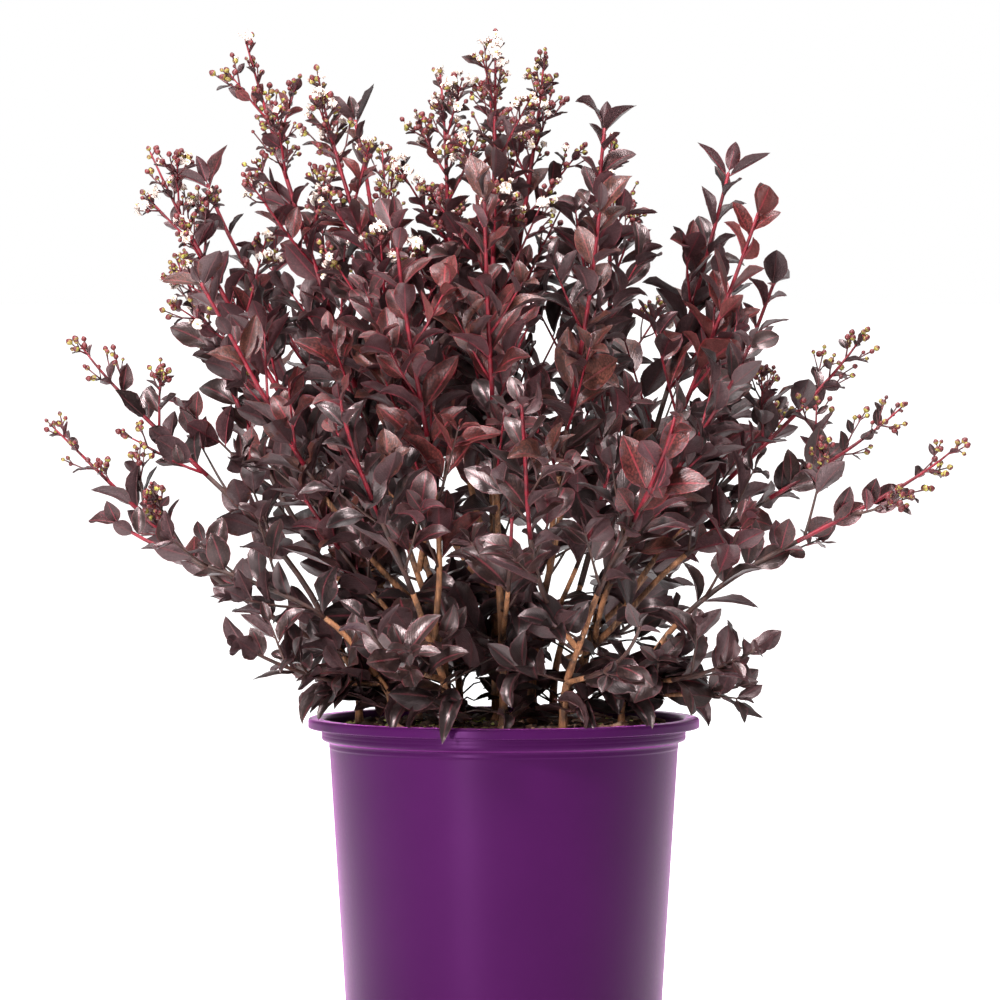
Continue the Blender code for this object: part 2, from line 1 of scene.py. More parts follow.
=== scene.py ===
import bmesh
import bpy
import json
import math
import random
from collections import defaultdict

import numpy as np
from mathutils import Matrix, Vector, noise

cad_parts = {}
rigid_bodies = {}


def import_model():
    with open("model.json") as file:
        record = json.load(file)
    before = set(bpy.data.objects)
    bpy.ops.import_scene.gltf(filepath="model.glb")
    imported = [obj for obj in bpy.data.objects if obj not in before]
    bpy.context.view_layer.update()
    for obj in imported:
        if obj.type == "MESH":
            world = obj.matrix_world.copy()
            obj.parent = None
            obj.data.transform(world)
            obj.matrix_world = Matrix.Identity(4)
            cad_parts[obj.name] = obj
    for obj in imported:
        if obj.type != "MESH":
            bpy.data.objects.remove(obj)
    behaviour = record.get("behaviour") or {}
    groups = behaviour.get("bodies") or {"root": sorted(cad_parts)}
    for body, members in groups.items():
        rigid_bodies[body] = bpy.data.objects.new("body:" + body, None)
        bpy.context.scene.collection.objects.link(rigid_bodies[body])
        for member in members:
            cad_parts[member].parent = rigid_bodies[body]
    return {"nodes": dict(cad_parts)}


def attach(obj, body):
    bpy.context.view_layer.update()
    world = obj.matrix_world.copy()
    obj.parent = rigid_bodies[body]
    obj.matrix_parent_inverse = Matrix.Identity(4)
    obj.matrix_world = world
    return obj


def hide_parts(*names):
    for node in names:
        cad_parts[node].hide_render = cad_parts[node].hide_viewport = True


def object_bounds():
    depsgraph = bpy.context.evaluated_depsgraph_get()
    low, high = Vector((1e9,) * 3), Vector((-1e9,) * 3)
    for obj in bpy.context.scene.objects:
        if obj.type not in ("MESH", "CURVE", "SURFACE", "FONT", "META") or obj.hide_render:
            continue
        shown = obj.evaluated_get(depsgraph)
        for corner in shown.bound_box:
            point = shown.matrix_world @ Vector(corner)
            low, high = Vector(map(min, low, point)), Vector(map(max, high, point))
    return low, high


# Potted crape myrtle: a moulded pot, its potting mix, bark stems, and dark leafy shoots with buds and flowers
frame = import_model()
cadLow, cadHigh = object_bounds()
up = Vector((0, 0, 1))


# Studio: a level, far camera, pale floor and soft boxes

studio = {
    "frameWidth": 0.716,  # metres across the frame at the pot's axis
    "distance": 6.0,
    "cameraHeight": 0.608,
    "aimHeight": 0.397,
    "sideways": -0.0027,
    "sensor": 36.0,
    "backdrop": 1.0,  # how bright the surroundings look
    "fill": 0.40,  # how much light they give
    "floorRadius": 45.0,
    "floorSides": 64,
    "floorDrop": 0.0005,  # how far it lies below the pot's foot
    "floorRough": 0.7,
    "floorSpecular": 0.1,
    "floorColour": (236, 236, 236),
    "floorGlow": 0.90,
    "glowFrom": 0.24,  # the floor glows from here outwards, so the pot keeps its contact shadow
    "glowFull": 0.42,
    # name: azimuth from the camera (left is negative), elevation, distance, width, height, watts
    "softboxes": {
        "keyLeft": (-36, 40, 3.0, 0.42, 0.46, 126),
        "frontStrip": (-25, 0, 2.4, 0.16, 0.78, 50),
        "fillRight": (66, 50, 3.2, 0.8, 1.0, 28),
        "topBox": (10, 74, 2.6, 0.6, 0.6, 104),
        "backLeft": (-148, 60, 3.2, 1.0, 1.4, 20),
        "backRight": (146, 60, 3.2, 1.0, 1.4, 20),
        "behind": (180, 6, 4.0, 1.8, 1.2, 9),
    },
}


def clamped(value):
    return max(0.0, min(1.0, value))


def farOut(point):
    # distance from the pot's axis
    return math.hypot(point.x, point.y)


def onCircle(radius, turn, z=0.0):
    return radius * math.cos(turn), radius * math.sin(turn), z


def levelSide(along):
    # a level direction square to a limb
    flat = along.cross(up)
    return flat.normalized() if flat.length > 0.05 else Vector((1, 0, 0))


def leaning(along, side, lean, lift=0.0):
    # a direction that leaves a limb at an angle, drawn up by its lift
    return (along * math.cos(lean) + side * math.sin(lean) + up * lift).normalized()


def linear(colour):
    # 0-255 screen colour to the shader's own scale
    made = []
    for value in colour:
        c = value / 255
        made.append(c / 12.92 if c <= 0.04045 else ((c + 0.055) / 1.055) ** 2.4)
    return (*made, 1.0)


def mathNode(tree, operation, a, b=None, clamp=False):
    node = tree.nodes.new("ShaderNodeMath")
    node.operation = operation
    node.use_clamp = clamp
    for socket, value in ((node.inputs[0], a), (node.inputs[1], b)):
        if value is None:
            continue
        if isinstance(value, (int, float)):
            socket.default_value = value
        else:
            tree.links.new(value, socket)
    return node.outputs[0]


def steepened(tree, value, start, gain):
    # how far a value passes its start, made steep and kept between 0 and 1
    return mathNode(tree, "MULTIPLY", mathNode(tree, "SUBTRACT", value, start), gain, clamp=True)


def mixColour(tree, factor, a, b, mode="MIX"):
    node = tree.nodes.new("ShaderNodeMix")
    node.data_type = "RGBA"
    node.blend_type = mode
    for socket, value in ((node.inputs[0], factor), (node.inputs[6], a), (node.inputs[7], b)):
        if hasattr(value, "is_output"):
            tree.links.new(value, socket)
        else:
            socket.default_value = value
    return node.outputs[2]


def makeCamera():
    data = bpy.data.cameras.new("camera")
    data.sensor_width = studio["sensor"]
    data.lens = studio["sensor"] * studio["distance"] / studio["frameWidth"]
    data.clip_end = 200
    camera = bpy.data.objects.new("camera", data)
    camera.location = (studio["sideways"], -studio["distance"], studio["cameraHeight"])
    aim = Vector((studio["sideways"], 0, studio["aimHeight"])) - camera.location
    camera.rotation_euler = aim.to_track_quat("-Z", "Y").to_euler()
    bpy.context.scene.collection.objects.link(camera)
    bpy.context.scene.camera = camera


def makeSoftbox(name, azimuth, elevation, distance, width, height, watts):
    data = bpy.data.lights.new(name, "AREA")
    data.shape = "RECTANGLE"
    data.size = width
    data.size_y = height
    data.energy = watts
    light = bpy.data.objects.new(name, data)
    a, e = math.radians(azimuth), math.radians(elevation)
    back = Vector((math.sin(a) * math.cos(e), -math.cos(a) * math.cos(e), math.sin(e)))
    light.location = Vector((0, 0, studio["aimHeight"])) + back * distance
    light.rotation_euler = back.to_track_quat("Z", "Y").to_euler()
    light.visible_camera = False
    bpy.context.scene.collection.objects.link(light)


def makeWorld():
    # the surroundings look pure white and light the plant a little less than that
    world = bpy.data.worlds.new("studio")
    world.use_nodes = True
    tree = world.node_tree
    shown = tree.nodes["Background"]
    shown.inputs["Strength"].default_value = studio["backdrop"]
    shown.inputs["Color"].default_value = (1, 1, 1, 1)
    lighting = tree.nodes.new("ShaderNodeBackground")
    lighting.inputs["Color"].default_value = (1, 1, 1, 1)
    lighting.inputs["Strength"].default_value = studio["fill"]
    seen = tree.nodes.new("ShaderNodeLightPath")
    blend = tree.nodes.new("ShaderNodeMixShader")
    tree.links.new(seen.outputs["Is Camera Ray"], blend.inputs["Fac"])
    tree.links.new(lighting.outputs["Background"], blend.inputs[1])
    tree.links.new(shown.outputs["Background"], blend.inputs[2])
    tree.links.new(blend.outputs["Shader"], tree.nodes["World Output"].inputs["Surface"])
    bpy.context.scene.world = world
    bpy.context.scene.view_settings.view_transform = "Standard"


def makeFloor():
    sides = studio["floorSides"]
    rim = [onCircle(studio["floorRadius"], math.tau * k / sides) for k in range(sides)]
    mesh = bpy.data.meshes.new("floor")
    mesh.from_pydata(rim, [], [list(range(sides))])
    floor = bpy.data.objects.new("floor", mesh)
    floor.location.z = -studio["floorDrop"]
    bpy.context.scene.collection.objects.link(floor)
    material = bpy.data.materials.new("paleFloor")
    material.use_nodes = True
    shader = material.node_tree.nodes["Principled BSDF"]
    shader.inputs["Base Color"].default_value = linear(studio["floorColour"])
    shader.inputs["Roughness"].default_value = studio["floorRough"]
    shader.inputs["Specular IOR Level"].default_value = studio["floorSpecular"]
    shader.inputs["Emission Strength"].default_value = studio["floorGlow"]
    tree = material.node_tree
    far = tree.nodes.new("ShaderNodeVectorMath")
    far.operation = "LENGTH"
    tree.links.new(tree.nodes.new("ShaderNodeTexCoord").outputs["Object"], far.inputs[0])
    glow = tree.nodes.new("ShaderNodeMapRange")
    glow.interpolation_type = "SMOOTHSTEP"
    glow.inputs["From Min"].default_value = studio["glowFrom"]
    glow.inputs["From Max"].default_value = studio["glowFull"]
    tree.links.new(far.outputs["Value"], glow.inputs["Value"])
    seen = tree.nodes.new("ShaderNodeLightPath").outputs["Is Camera Ray"]
    shown = mathNode(tree, "MULTIPLY", glow.outputs["Result"], seen)
    tree.links.new(shown, shader.inputs["Emission Color"])
    mesh.materials.append(material)


makeCamera()
makeWorld()
makeFloor()
for boxName, box in studio["softboxes"].items():
    makeSoftbox(boxName, *box)
print("studio ready")


# Effects that several materials share

def newGroup(name, inputs, outputs):
    group = bpy.data.node_groups.new(name, "ShaderNodeTree")
    kinds = {"c": "NodeSocketColor", "f": "NodeSocketFloat"}
    for socket, kind in inputs.items():
        group.interface.new_socket(socket, in_out="INPUT", socket_type=kinds[kind])
    for socket, kind in outputs.items():
        group.interface.new_socket(socket, in_out="OUTPUT", socket_type=kinds[kind])
    return group, group.nodes.new("NodeGroupInput"), group.nodes.new("NodeGroupOutput")


mottleShape = {
    "fine": 12.0,  # how much finer the flecks are than the blotches
    "from": 0.36,
    "full": 0.64,
}


def mottleGroup():
    # soft blotches and fine flecks laid over a base colour, by place on the plant
    group, given, result = newGroup(
        "mottle", {"Base": "c", "Blotch": "c", "Amount": "f", "Scale": "f", "Fleck": "f"}, {"Color": "c"})
    place = group.nodes.new("ShaderNodeTexCoord").outputs["Object"]
    broad = group.nodes.new("ShaderNodeTexNoise")
    broad.inputs["Detail"].default_value = 3
    fine = group.nodes.new("ShaderNodeTexNoise")
    fine.inputs["Detail"].default_value = 2
    for node in (broad, fine):
        group.links.new(place, node.inputs["Vector"])
    group.links.new(given.outputs["Scale"], broad.inputs["Scale"])
    group.links.new(mathNode(group, "MULTIPLY", given.outputs["Scale"], mottleShape["fine"]), fine.inputs["Scale"])
    ramp = group.nodes.new("ShaderNodeMapRange")
    ramp.inputs["From Min"].default_value = mottleShape["from"]
    ramp.inputs["From Max"].default_value = mottleShape["full"]
    group.links.new(broad.outputs["Fac"], ramp.inputs["Value"])
    share = mathNode(group, "MULTIPLY", ramp.outputs["Result"], given.outputs["Amount"], clamp=True)
    stained = mixColour(group, share, given.outputs["Base"], given.outputs["Blotch"])
    centred = mathNode(group, "SUBTRACT", fine.outputs["Fac"], 0.5)
    shift = mathNode(group, "MULTIPLY", centred, given.outputs["Fleck"])
    gain = mathNode(group, "ADD", shift, 1.0)
    grey = group.nodes.new("ShaderNodeCombineColor")
    for channel in ("Red", "Green", "Blue"):
        group.links.new(gain, grey.inputs[channel])
    group.links.new(mixColour(group, 1.0, stained, grey.outputs["Color"], "MULTIPLY"), result.inputs["Color"])
    return group


def grainGroup():
    # fine surface relief, and the roughness that goes with it
    group, given, result = newGroup(
        "grain", {"Scale": "f", "Smooth": "f", "Rough": "f"}, {"Height": "f", "Roughness": "f"})
    place = group.nodes.new("ShaderNodeTexCoord").outputs["Object"]
    cells = group.nodes.new("ShaderNodeTexNoise")
    cells.inputs["Detail"].default_value = 3
    group.links.new(place, cells.inputs["Vector"])
    group.links.new(given.outputs["Scale"], cells.inputs["Scale"])
    spread = mathNode(group, "SUBTRACT", given.outputs["Rough"], given.outputs["Smooth"])
    part = mathNode(group, "MULTIPLY", cells.outputs["Fac"], spread)
    group.links.new(mathNode(group, "ADD", part, given.outputs["Smooth"]), result.inputs["Roughness"])
    group.links.new(cells.outputs["Fac"], result.inputs["Height"])
    return group


# half widths of side vein and midrib, where the edge band and the net begin, each with how sharply it fades; the edge
# band is the margin's own red and also a painted highlight where the margin catches light
veinShape = {
    "line": (0.09, 11.0),
    "rib": (0.045, 40.0),
    "edge": (0.455, 30.0),
    "net": (0.25, 2.6),
    "uneven": 0.65,
}


def veinGroup():
    # side veins that leave the midrib at a slant, the net between them, and the midrib with the edge band (the
    # margin's red and a painted highlight of light caught on it), from the leaf's own map: along is X, across is Y
    group, given, result = newGroup(
        "veins", {"Count": "f", "Slant": "f", "NetLong": "f", "NetWide": "f"},
        {"Height": "f", "Line": "f", "RibAndEdgeGlint": "f", "Net": "f"})
    leafMap = group.nodes.new("ShaderNodeUVMap")
    leafMap.uv_map = "leafMap"
    apart = group.nodes.new("ShaderNodeSeparateXYZ")
    group.links.new(leafMap.outputs["UV"], apart.inputs[0])
    across = mathNode(group, "ABSOLUTE", mathNode(group, "SUBTRACT", apart.outputs["Y"], 0.5))
    slant = mathNode(group, "MULTIPLY", across, given.outputs["Slant"])
    along = mathNode(group, "SUBTRACT", apart.outputs["X"], slant)
    wave = mathNode(group, "FRACT", mathNode(group, "MULTIPLY", along, given.outputs["Count"]))
    ridge = mathNode(group, "ABSOLUTE", mathNode(group, "SUBTRACT", wave, 0.5))
    group.links.new(mathNode(group, "MULTIPLY", ridge, 2.0), result.inputs["Height"])
    width, gain = veinShape["line"]
    group.links.new(steepened(group, width, ridge, gain), result.inputs["Line"])
    spread = group.nodes.new("ShaderNodeCombineXYZ")
    for coordinate, often in (("X", "NetLong"), ("Y", "NetWide")):
        scaled = mathNode(group, "MULTIPLY", apart.outputs[coordinate], given.outputs[often])
        group.links.new(scaled, spread.inputs[coordinate])
    cells = group.nodes.new("ShaderNodeTexVoronoi")
    cells.voronoi_dimensions = "2D"
    cells.inputs["Scale"].default_value = 1.0
    cells.inputs["Randomness"].default_value = veinShape["uneven"]
    group.links.new(spread.outputs["Vector"], cells.inputs["Vector"])
    group.links.new(steepened(group, cells.outputs["Distance"], *veinShape["net"]), result.inputs["Net"])
    width, gain = veinShape["rib"]
    rib = steepened(group, width, across, gain)
    # the edge band: the margin's own red and a painted highlight where the margin catches light
    edge = steepened(group, across, *veinShape["edge"])
    group.links.new(mathNode(group, "ADD", rib, edge, clamp=True), result.inputs["RibAndEdgeGlint"])
    return group


groups = {"mottle": mottleGroup(), "grain": grainGroup(), "veins": veinGroup()}


def newMaterial(name):
    material = bpy.data.materials.new(name)
    material.use_nodes = True
    return material, material.node_tree, material.node_tree.nodes["Principled BSDF"]


def useGroup(tree, name, **values):
    node = tree.nodes.new("ShaderNodeGroup")
    node.node_tree = groups[name]
    for socket, value in values.items():
        node.inputs[socket].default_value = value
    return node


def addBump(tree, shader, height, strength, distance):
    bump = tree.nodes.new("ShaderNodeBump")
    bump.inputs["Strength"].default_value = strength
    bump.inputs["Distance"].default_value = distance
    tree.links.new(height, bump.inputs["Height"])
    tree.links.new(bump.outputs["Normal"], shader.inputs["Normal"])


def finishMaterial(name, base, blotch, amount, scale, fleck, grain, smooth, rough, bump, distance, specular=0.5):
    # the usual build: mottled colour, grain for relief and roughness
    material, tree, shader = newMaterial(name)
    colour = useGroup(
        tree, "mottle", Base=linear(base), Blotch=linear(blotch), Amount=amount, Scale=scale, Fleck=fleck)
    tree.links.new(colour.outputs["Color"], shader.inputs["Base Color"])
    surface = useGroup(tree, "grain", Scale=grain, Smooth=smooth, Rough=rough)
    tree.links.new(surface.outputs["Roughness"], shader.inputs["Roughness"])
    shader.inputs["Specular IOR Level"].default_value = specular
    addBump(tree, shader, surface.outputs["Height"], bump, distance)
    return material


leafFinish = {
    "mottle": {"Amount": 0.85, "Scale": 60.0, "Fleck": 2.4},
    "veins": {"Count": 12.0, "Slant": 0.9, "NetLong": 17.0, "NetWide": 9.0},
    "lineShare": 0.7,  # how far the side veins, their net and the midrib take on their own tints
    "netShare": 0.85,
    # share of the midrib colour at the midrib and at the edge band, where it also paints a highlight on the margin
    "ribAndEdgeGlintShare": 0.7,
    "glossTint": (255, 228, 230),
    "grain": 700.0,
    "grainRelief": 0.6,
    "netRelief": 0.35,
    "veinRelief": 0.5,
    "depth": 0.0005,
}


def leafMaterial(name, base, blotch, vein, rib, smooth, rough, specular, relief):
    # a blade's colour, darker along its veins and their net, redder at the midrib, and at the edge the margin's red
    # together with a painted highlight of light caught on the margin, with relief between the veins
    material, tree, shader = newMaterial(name)
    colour = useGroup(tree, "mottle", Base=linear(base), Blotch=linear(blotch), **leafFinish["mottle"])
    veins = useGroup(tree, "veins", **leafFinish["veins"])
    lines = mathNode(tree, "MULTIPLY", veins.outputs["Line"], leafFinish["lineShare"])
    net = mathNode(tree, "MULTIPLY", veins.outputs["Net"], leafFinish["netShare"])
    share = mathNode(tree, "MAXIMUM", lines, net)
    tinted = mixColour(tree, share, colour.outputs["Color"], linear(vein))
    ribAndEdgeGlintShare = mathNode(tree, "MULTIPLY", veins.outputs["RibAndEdgeGlint"], leafFinish["ribAndEdgeGlintShare"])
    tree.links.new(mixColour(tree, ribAndEdgeGlintShare, tinted, linear(rib)), shader.inputs["Base Color"])
    surface = useGroup(tree, "grain", Scale=leafFinish["grain"], Smooth=smooth, Rough=rough)
    tree.links.new(surface.outputs["Roughness"], shader.inputs["Roughness"])
    shader.inputs["Specular IOR Level"].default_value = specular
    shader.inputs["Specular Tint"].default_value = linear(leafFinish["glossTint"])
    fine = mathNode(tree, "MULTIPLY", surface.outputs["Height"], leafFinish["grainRelief"])
    netDepth = mathNode(tree, "MULTIPLY", veins.outputs["Net"], leafFinish["netRelief"])
    veinRise = mathNode(tree, "MULTIPLY", veins.outputs["Height"], leafFinish["veinRelief"])
    height = mathNode(tree, "ADD", veinRise, mathNode(tree, "SUBTRACT", fine, netDepth))
    addBump(tree, shader, height, relief, leafFinish["depth"])
    return material


# Mesh helpers: every kind of small thing is gathered in a bin and made as one joined mesh

class Bin:
    def __init__(self):
        self.points, self.faces, self.maps, self.count = [], [], [], 0

    def add(self, points, faces, maps=None):
        self.points.append(np.asarray(points, float).reshape(-1, 3))
        self.faces.append(np.asarray(faces, int).reshape(-1, 4) + self.count)
        if maps is not None:
            self.maps.append(maps)
        self.count += len(self.points[-1])


bins = defaultdict(Bin)
piecesMade = []


def makePiece(name, binName, material, replaced=(), smooth=True):
    # a face whose last two corners are the same is a triangle
    if binName not in bins:
        return
    source = bins[binName]
    points, faces = np.concatenate(source.points), np.concatenate(source.faces)
    corners = np.where(faces[:, 3] == faces[:, 2], 3, 4)
    keep = np.ones(faces.shape, bool)
    keep[:, 3] = corners == 4
    mesh = bpy.data.meshes.new(name)
    mesh.vertices.add(len(points))
    mesh.vertices.foreach_set("co", points.astype(np.float32).ravel())
    mesh.loops.add(int(corners.sum()))
    mesh.loops.foreach_set("vertex_index", faces[keep].astype(np.int32))
    mesh.polygons.add(len(faces))
    mesh.polygons.foreach_set("loop_start", np.concatenate([[0], np.cumsum(corners)[:-1]]).astype(np.int32))
    mesh.update(calc_edges=True)
    if source.maps:
        layer = mesh.uv_layers.new(name="leafMap")
        spots = np.concatenate(source.maps)[faces[keep]]
        layer.data.foreach_set("uv", spots.astype(np.float32).ravel())
    if smooth:
        mesh.shade_smooth()
    mesh.materials.append(material)
    piece = bpy.data.objects.new(name, mesh)
    bpy.context.scene.collection.objects.link(piece)
    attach(piece, "root")
    if replaced:
        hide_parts(*replaced)
    piecesMade.append((name, int((corners - 2).sum())))


def ringFaces(rings, sides):
    # quads between neighbouring rings of a tube
    r, s = np.meshgrid(np.arange(rings - 1), np.arange(sides), indexing="ij")
    a = r * sides + s
    b = r * sides + (s + 1) % sides
    return np.stack([a, b, b + sides, a + sides], -1).reshape(-1, 4)


def fanFaces(ring, centre, flip=False):
    ring = np.asarray(ring)
    after = np.roll(ring, -1)
    first, second = (after, ring) if flip else (ring, after)
    middle = np.full(len(ring), centre)
    return np.stack([first, second, middle, middle], -1)


def tubeRings(points, sides, radiusAt):
    # rings round a path, carried along it without twist; radiusAt(step, turn) gives each corner's radius
    points = [Vector(p) for p in points]
    tangents = []
    for k in range(len(points)):
        before, after = points[max(0, k - 1)], points[min(len(points) - 1, k + 1)]
        tangents.append((after - before).normalized())
    side = tangents[0].cross(Vector((0.21, 1, 0.13))).normalized()
    rings = []
    for k, (point, tangent) in enumerate(zip(points, tangents)):
        side = (side - tangent * side.dot(tangent)).normalized()
        other = tangent.cross(side)
        for s in range(sides):
            turn = math.tau * s / sides
            reach = radiusAt(k, turn)
            rings.append(point + side * (math.cos(turn) * reach) + other * (math.sin(turn) * reach))
    return rings


def addTube(binName, points, radii, sides=6, radiusAt=None):
    rings = tubeRings(points, sides, radiusAt or (lambda k, turn: radii[k]))
    faces = ringFaces(len(points), sides)
    total = len(rings)
    rings.append(Vector(points[-1]))
    rings.append(Vector(points[0]))
    caps = [
        fanFaces(np.arange(total - sides, total), total),
        fanFaces(np.arange(sides), total + 1, flip=True),
    ]
    bins[binName].add([tuple(p) for p in rings], np.concatenate([faces] + caps))


def bezier(p0, p1, p2, p3, t):
    s = 1 - t
    return p0 * s ** 3 + p1 * (3 * s * s * t) + p2 * (3 * s * t * t) + p3 * t ** 3


class LimbPath:
    # a limb's smooth line: leaves its start along one heading and reaches its tip along another
    def __init__(self, start, heading, tip, arrival, steps, reach):
        span = (tip - start).length * reach
        handles = (start, start + heading * span, tip - arrival * span, tip)
        self.points = [bezier(*handles, k / steps) for k in range(steps + 1)]
        self.spans = [(b - a).length for a, b in zip(self.points, self.points[1:])]
        self.length = sum(self.spans)
        self.line = np.array([tuple(p) for p in self.points])

    def at(self, share):
        left = clamped(share) * self.length
        for a, b, span in zip(self.points, self.points[1:], self.spans):
            if left <= span + 1e-9:
                break
            left -= span
        return a.lerp(b, min(1.0, left / span)), (b - a).normalized()

    def gapTo(self, point):
        return float(np.sqrt(((self.line - np.array(point)) ** 2).sum(1).min()))


# Pot: the moulded wall, with its rim turned down, collar and drain holes

pot = {
    "height": 0.241,
    "wall": 0.0018,
    "floor": 0.0025,
    "baseRadius": 0.1113,
    "bodyTopRadius": 0.1253,
    "collarRadius": 0.1305,
    "collarFoot": 0.2255,
    "rimRadius": 0.1402,
    "rimSkirt": 0.007,
    "rimInner": 0.1302,
    "segments": 180,
    "drainHoles": 6,
    "drainRadius": 0.008,
    "drainCircle": 0.078,
    "bands": ((0.2316, 0.00007), (0.2290, 0.00007)),  # height and depth of the moulding lines on the collar
    "edge": 0.0006,  # length of the short run beside each rounding
    "sharpFrom": math.radians(50),
    "colour": (49, 10, 53),
    "blotch": (45, 9, 49),
    "clouding": {"Amount": 0.6, "Scale": 14.0, "Fleck": 0.06},
    "peel": {"Scale": 420.0, "Smooth": 0.26, "Rough": 0.38},
    "relief": (0.05, 0.0004),
    "gloss": 0.20,
    "glossTint": (190, 120, 200),
    "bloom": 0.50,  # a soft lilac edge
    "bloomRough": 0.3,
    "bloomTint": (255, 108, 250),
}


def roundedProfile(corners, stepLength=0.006):
    # corners are (radius, height, rounding); long straight runs are split so that the shading stays even
    line = []
    for k, (r, z, rounding) in enumerate(corners):
        here = Vector((r, z))
        if rounding == 0 or k in (0, len(corners) - 1):
            line.append(here)
            continue
        back = Vector(corners[k - 1][:2]) - here
        forth = Vector(corners[k + 1][:2]) - here
        cut = min(rounding, back.length * 0.48, forth.length * 0.48)
        a, b = here + back.normalized() * cut, here + forth.normalized() * cut
        for s in range(5):
            t = s / 4
            line.append(a * (1 - t) ** 2 + here * (2 * t * (1 - t)) + b * t ** 2)
    split = [line[0]]
    for a, b in zip(line, line[1:]):
        long = (b - a).length
        if long > 3 * pot["edge"]:
            split.append(a.lerp(b, pot["edge"] / long))
            for s in range(1, int(long / stepLength)):
                split.append(a.lerp(b, s * stepLength / long))
            split.append(b.lerp(a, pot["edge"] / long))
        split.append(b)
    return split


def makePot():
    top, wall, foot = pot["height"], pot["wall"], pot["collarFoot"]
    step = foot - 0.0015
    innerCollar = pot["collarRadius"] - wall

    def bodyRadius(z):
        return pot["baseRadius"] + (pot["bodyTopRadius"] - pot["baseRadius"]) * z / foot

    corners = [
        (0.0, pot["floor"], 0),
        (bodyRadius(pot["floor"]) - wall, pot["floor"], 0.003),
        (bodyRadius(step) - wall, step + wall, 0.001),
        (innerCollar, foot + wall, 0.001),
        (innerCollar, top - wall, 0.0012),
        (pot["rimInner"], top, 0.0012),
        (pot["rimRadius"], top, 0.0021),
        (pot["rimRadius"], top - pot["rimSkirt"], 0.0008),
        (pot["rimRadius"] - wall, top - pot["rimSkirt"], 0.0005),
        (pot["rimRadius"] - wall, top - wall - 0.0006, 0.0006),
        (pot["collarRadius"], top - wall - 0.0006, 0.0006),
    ]
    for height, depth in pot["bands"]:
        corners += [
            (pot["collarRadius"], height + 0.0007, 0.0003),
            (pot["collarRadius"] - depth, height, 0.0003),
            (pot["collarRadius"], height - 0.0007, 0.0003),
        ]
    corners += [
        (pot["collarRadius"], foot, 0.0016),
        (bodyRadius(step), step - 0.0006, 0.0012),
        (bodyRadius(step - 0.0042) + 0.0003, step - 0.0042, 0.0008),
        (bodyRadius(step - 0.005), step - 0.005, 0.0005),
        (bodyRadius(0.004), 0.004, 0.003),
        (pot["baseRadius"] - 0.0025, 0.0, 0.0015),
        (0.0, 0.0, 0),
    ]
    profile = roundedProfile(corners)
    mesh = bpy.data.meshes.new("pottedShell")
    mesh.from_pydata([(p.x, 0, p.y) for p in profile], [(k, k + 1) for k in range(len(profile) - 1)], [])
    shell = bpy.data.objects.new("nurseryPot", mesh)
    bpy.context.scene.collection.objects.link(shell)
    turn = shell.modifiers.new("turn", "SCREW")
    turn.steps = turn.render_steps = pot["segments"]
    turn.use_merge_vertices = True
    turn.merge_threshold = 0.00002
    holes = bpy.data.collections.new("drainHoles")
    bpy.context.scene.collection.children.link(holes)
    for k in range(pot["drainHoles"]):
        radius = pot["drainRadius"]
        plug = bmesh.new()
        bmesh.ops.create_cone(plug, cap_ends=True, segments=40, radius1=radius, radius2=radius, depth=0.01)
        plugMesh = bpy.data.meshes.new(f"drainHole{k}")
        plug.to_mesh(plugMesh)
        plug.free()
        hole = bpy.data.objects.new(f"drainHole{k}", plugMesh)
        hole.location = onCircle(pot["drainCircle"], math.tau * (k + 0.5) / pot["drainHoles"], 0.001)
        holes.objects.link(hole)
    cut = shell.modifiers.new("drains", "BOOLEAN")
    cut.operation = "DIFFERENCE"
    cut.operand_type = "COLLECTION"
    cut.collection = holes
    bpy.context.view_layer.update()
    graph = bpy.context.evaluated_depsgraph_get()
    turned = bpy.data.meshes.new_from_object(shell.evaluated_get(graph))
    shell.modifiers.clear()
    shell.data = turned
    for hole in list(holes.objects):
        bpy.data.objects.remove(hole)
    bpy.data.collections.remove(holes)
    turned.materials.clear()
    turned.materials.append(potMaterial())
    turned.shade_smooth()
    turned.set_sharp_from_angle(angle=pot["sharpFrom"])
    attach(shell, "root")
    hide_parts("pot")


def potMaterial():
    # satin purple plastic: faint clouding, orange-peel relief, a thin gloss and a lilac edge
    material, tree, shader = newMaterial("purplePlastic")
    colour = useGroup(tree, "mottle", Base=linear(pot["colour"]), Blotch=linear(pot["blotch"]), **pot["clouding"])
    tree.links.new(colour.outputs["Color"], shader.inputs["Base Color"])
    surface = useGroup(tree, "grain", **pot["peel"])
    tree.links.new(surface.outputs["Roughness"], shader.inputs["Roughness"])
    addBump(tree, shader, surface.outputs["Height"], *pot["relief"])
    shader.inputs["Specular IOR Level"].default_value = pot["gloss"]
    shader.inputs["Specular Tint"].default_value = linear(pot["glossTint"])
    shader.inputs["Sheen Weight"].default_value = pot["bloom"]
    shader.inputs["Sheen Roughness"].default_value = pot["bloomRough"]
    shader.inputs["Sheen Tint"].default_value = linear(pot["bloomTint"])
    return material


makePot()
print("pot ready")


# Potting mix: an uneven bed with bark chips, and a few pale bits

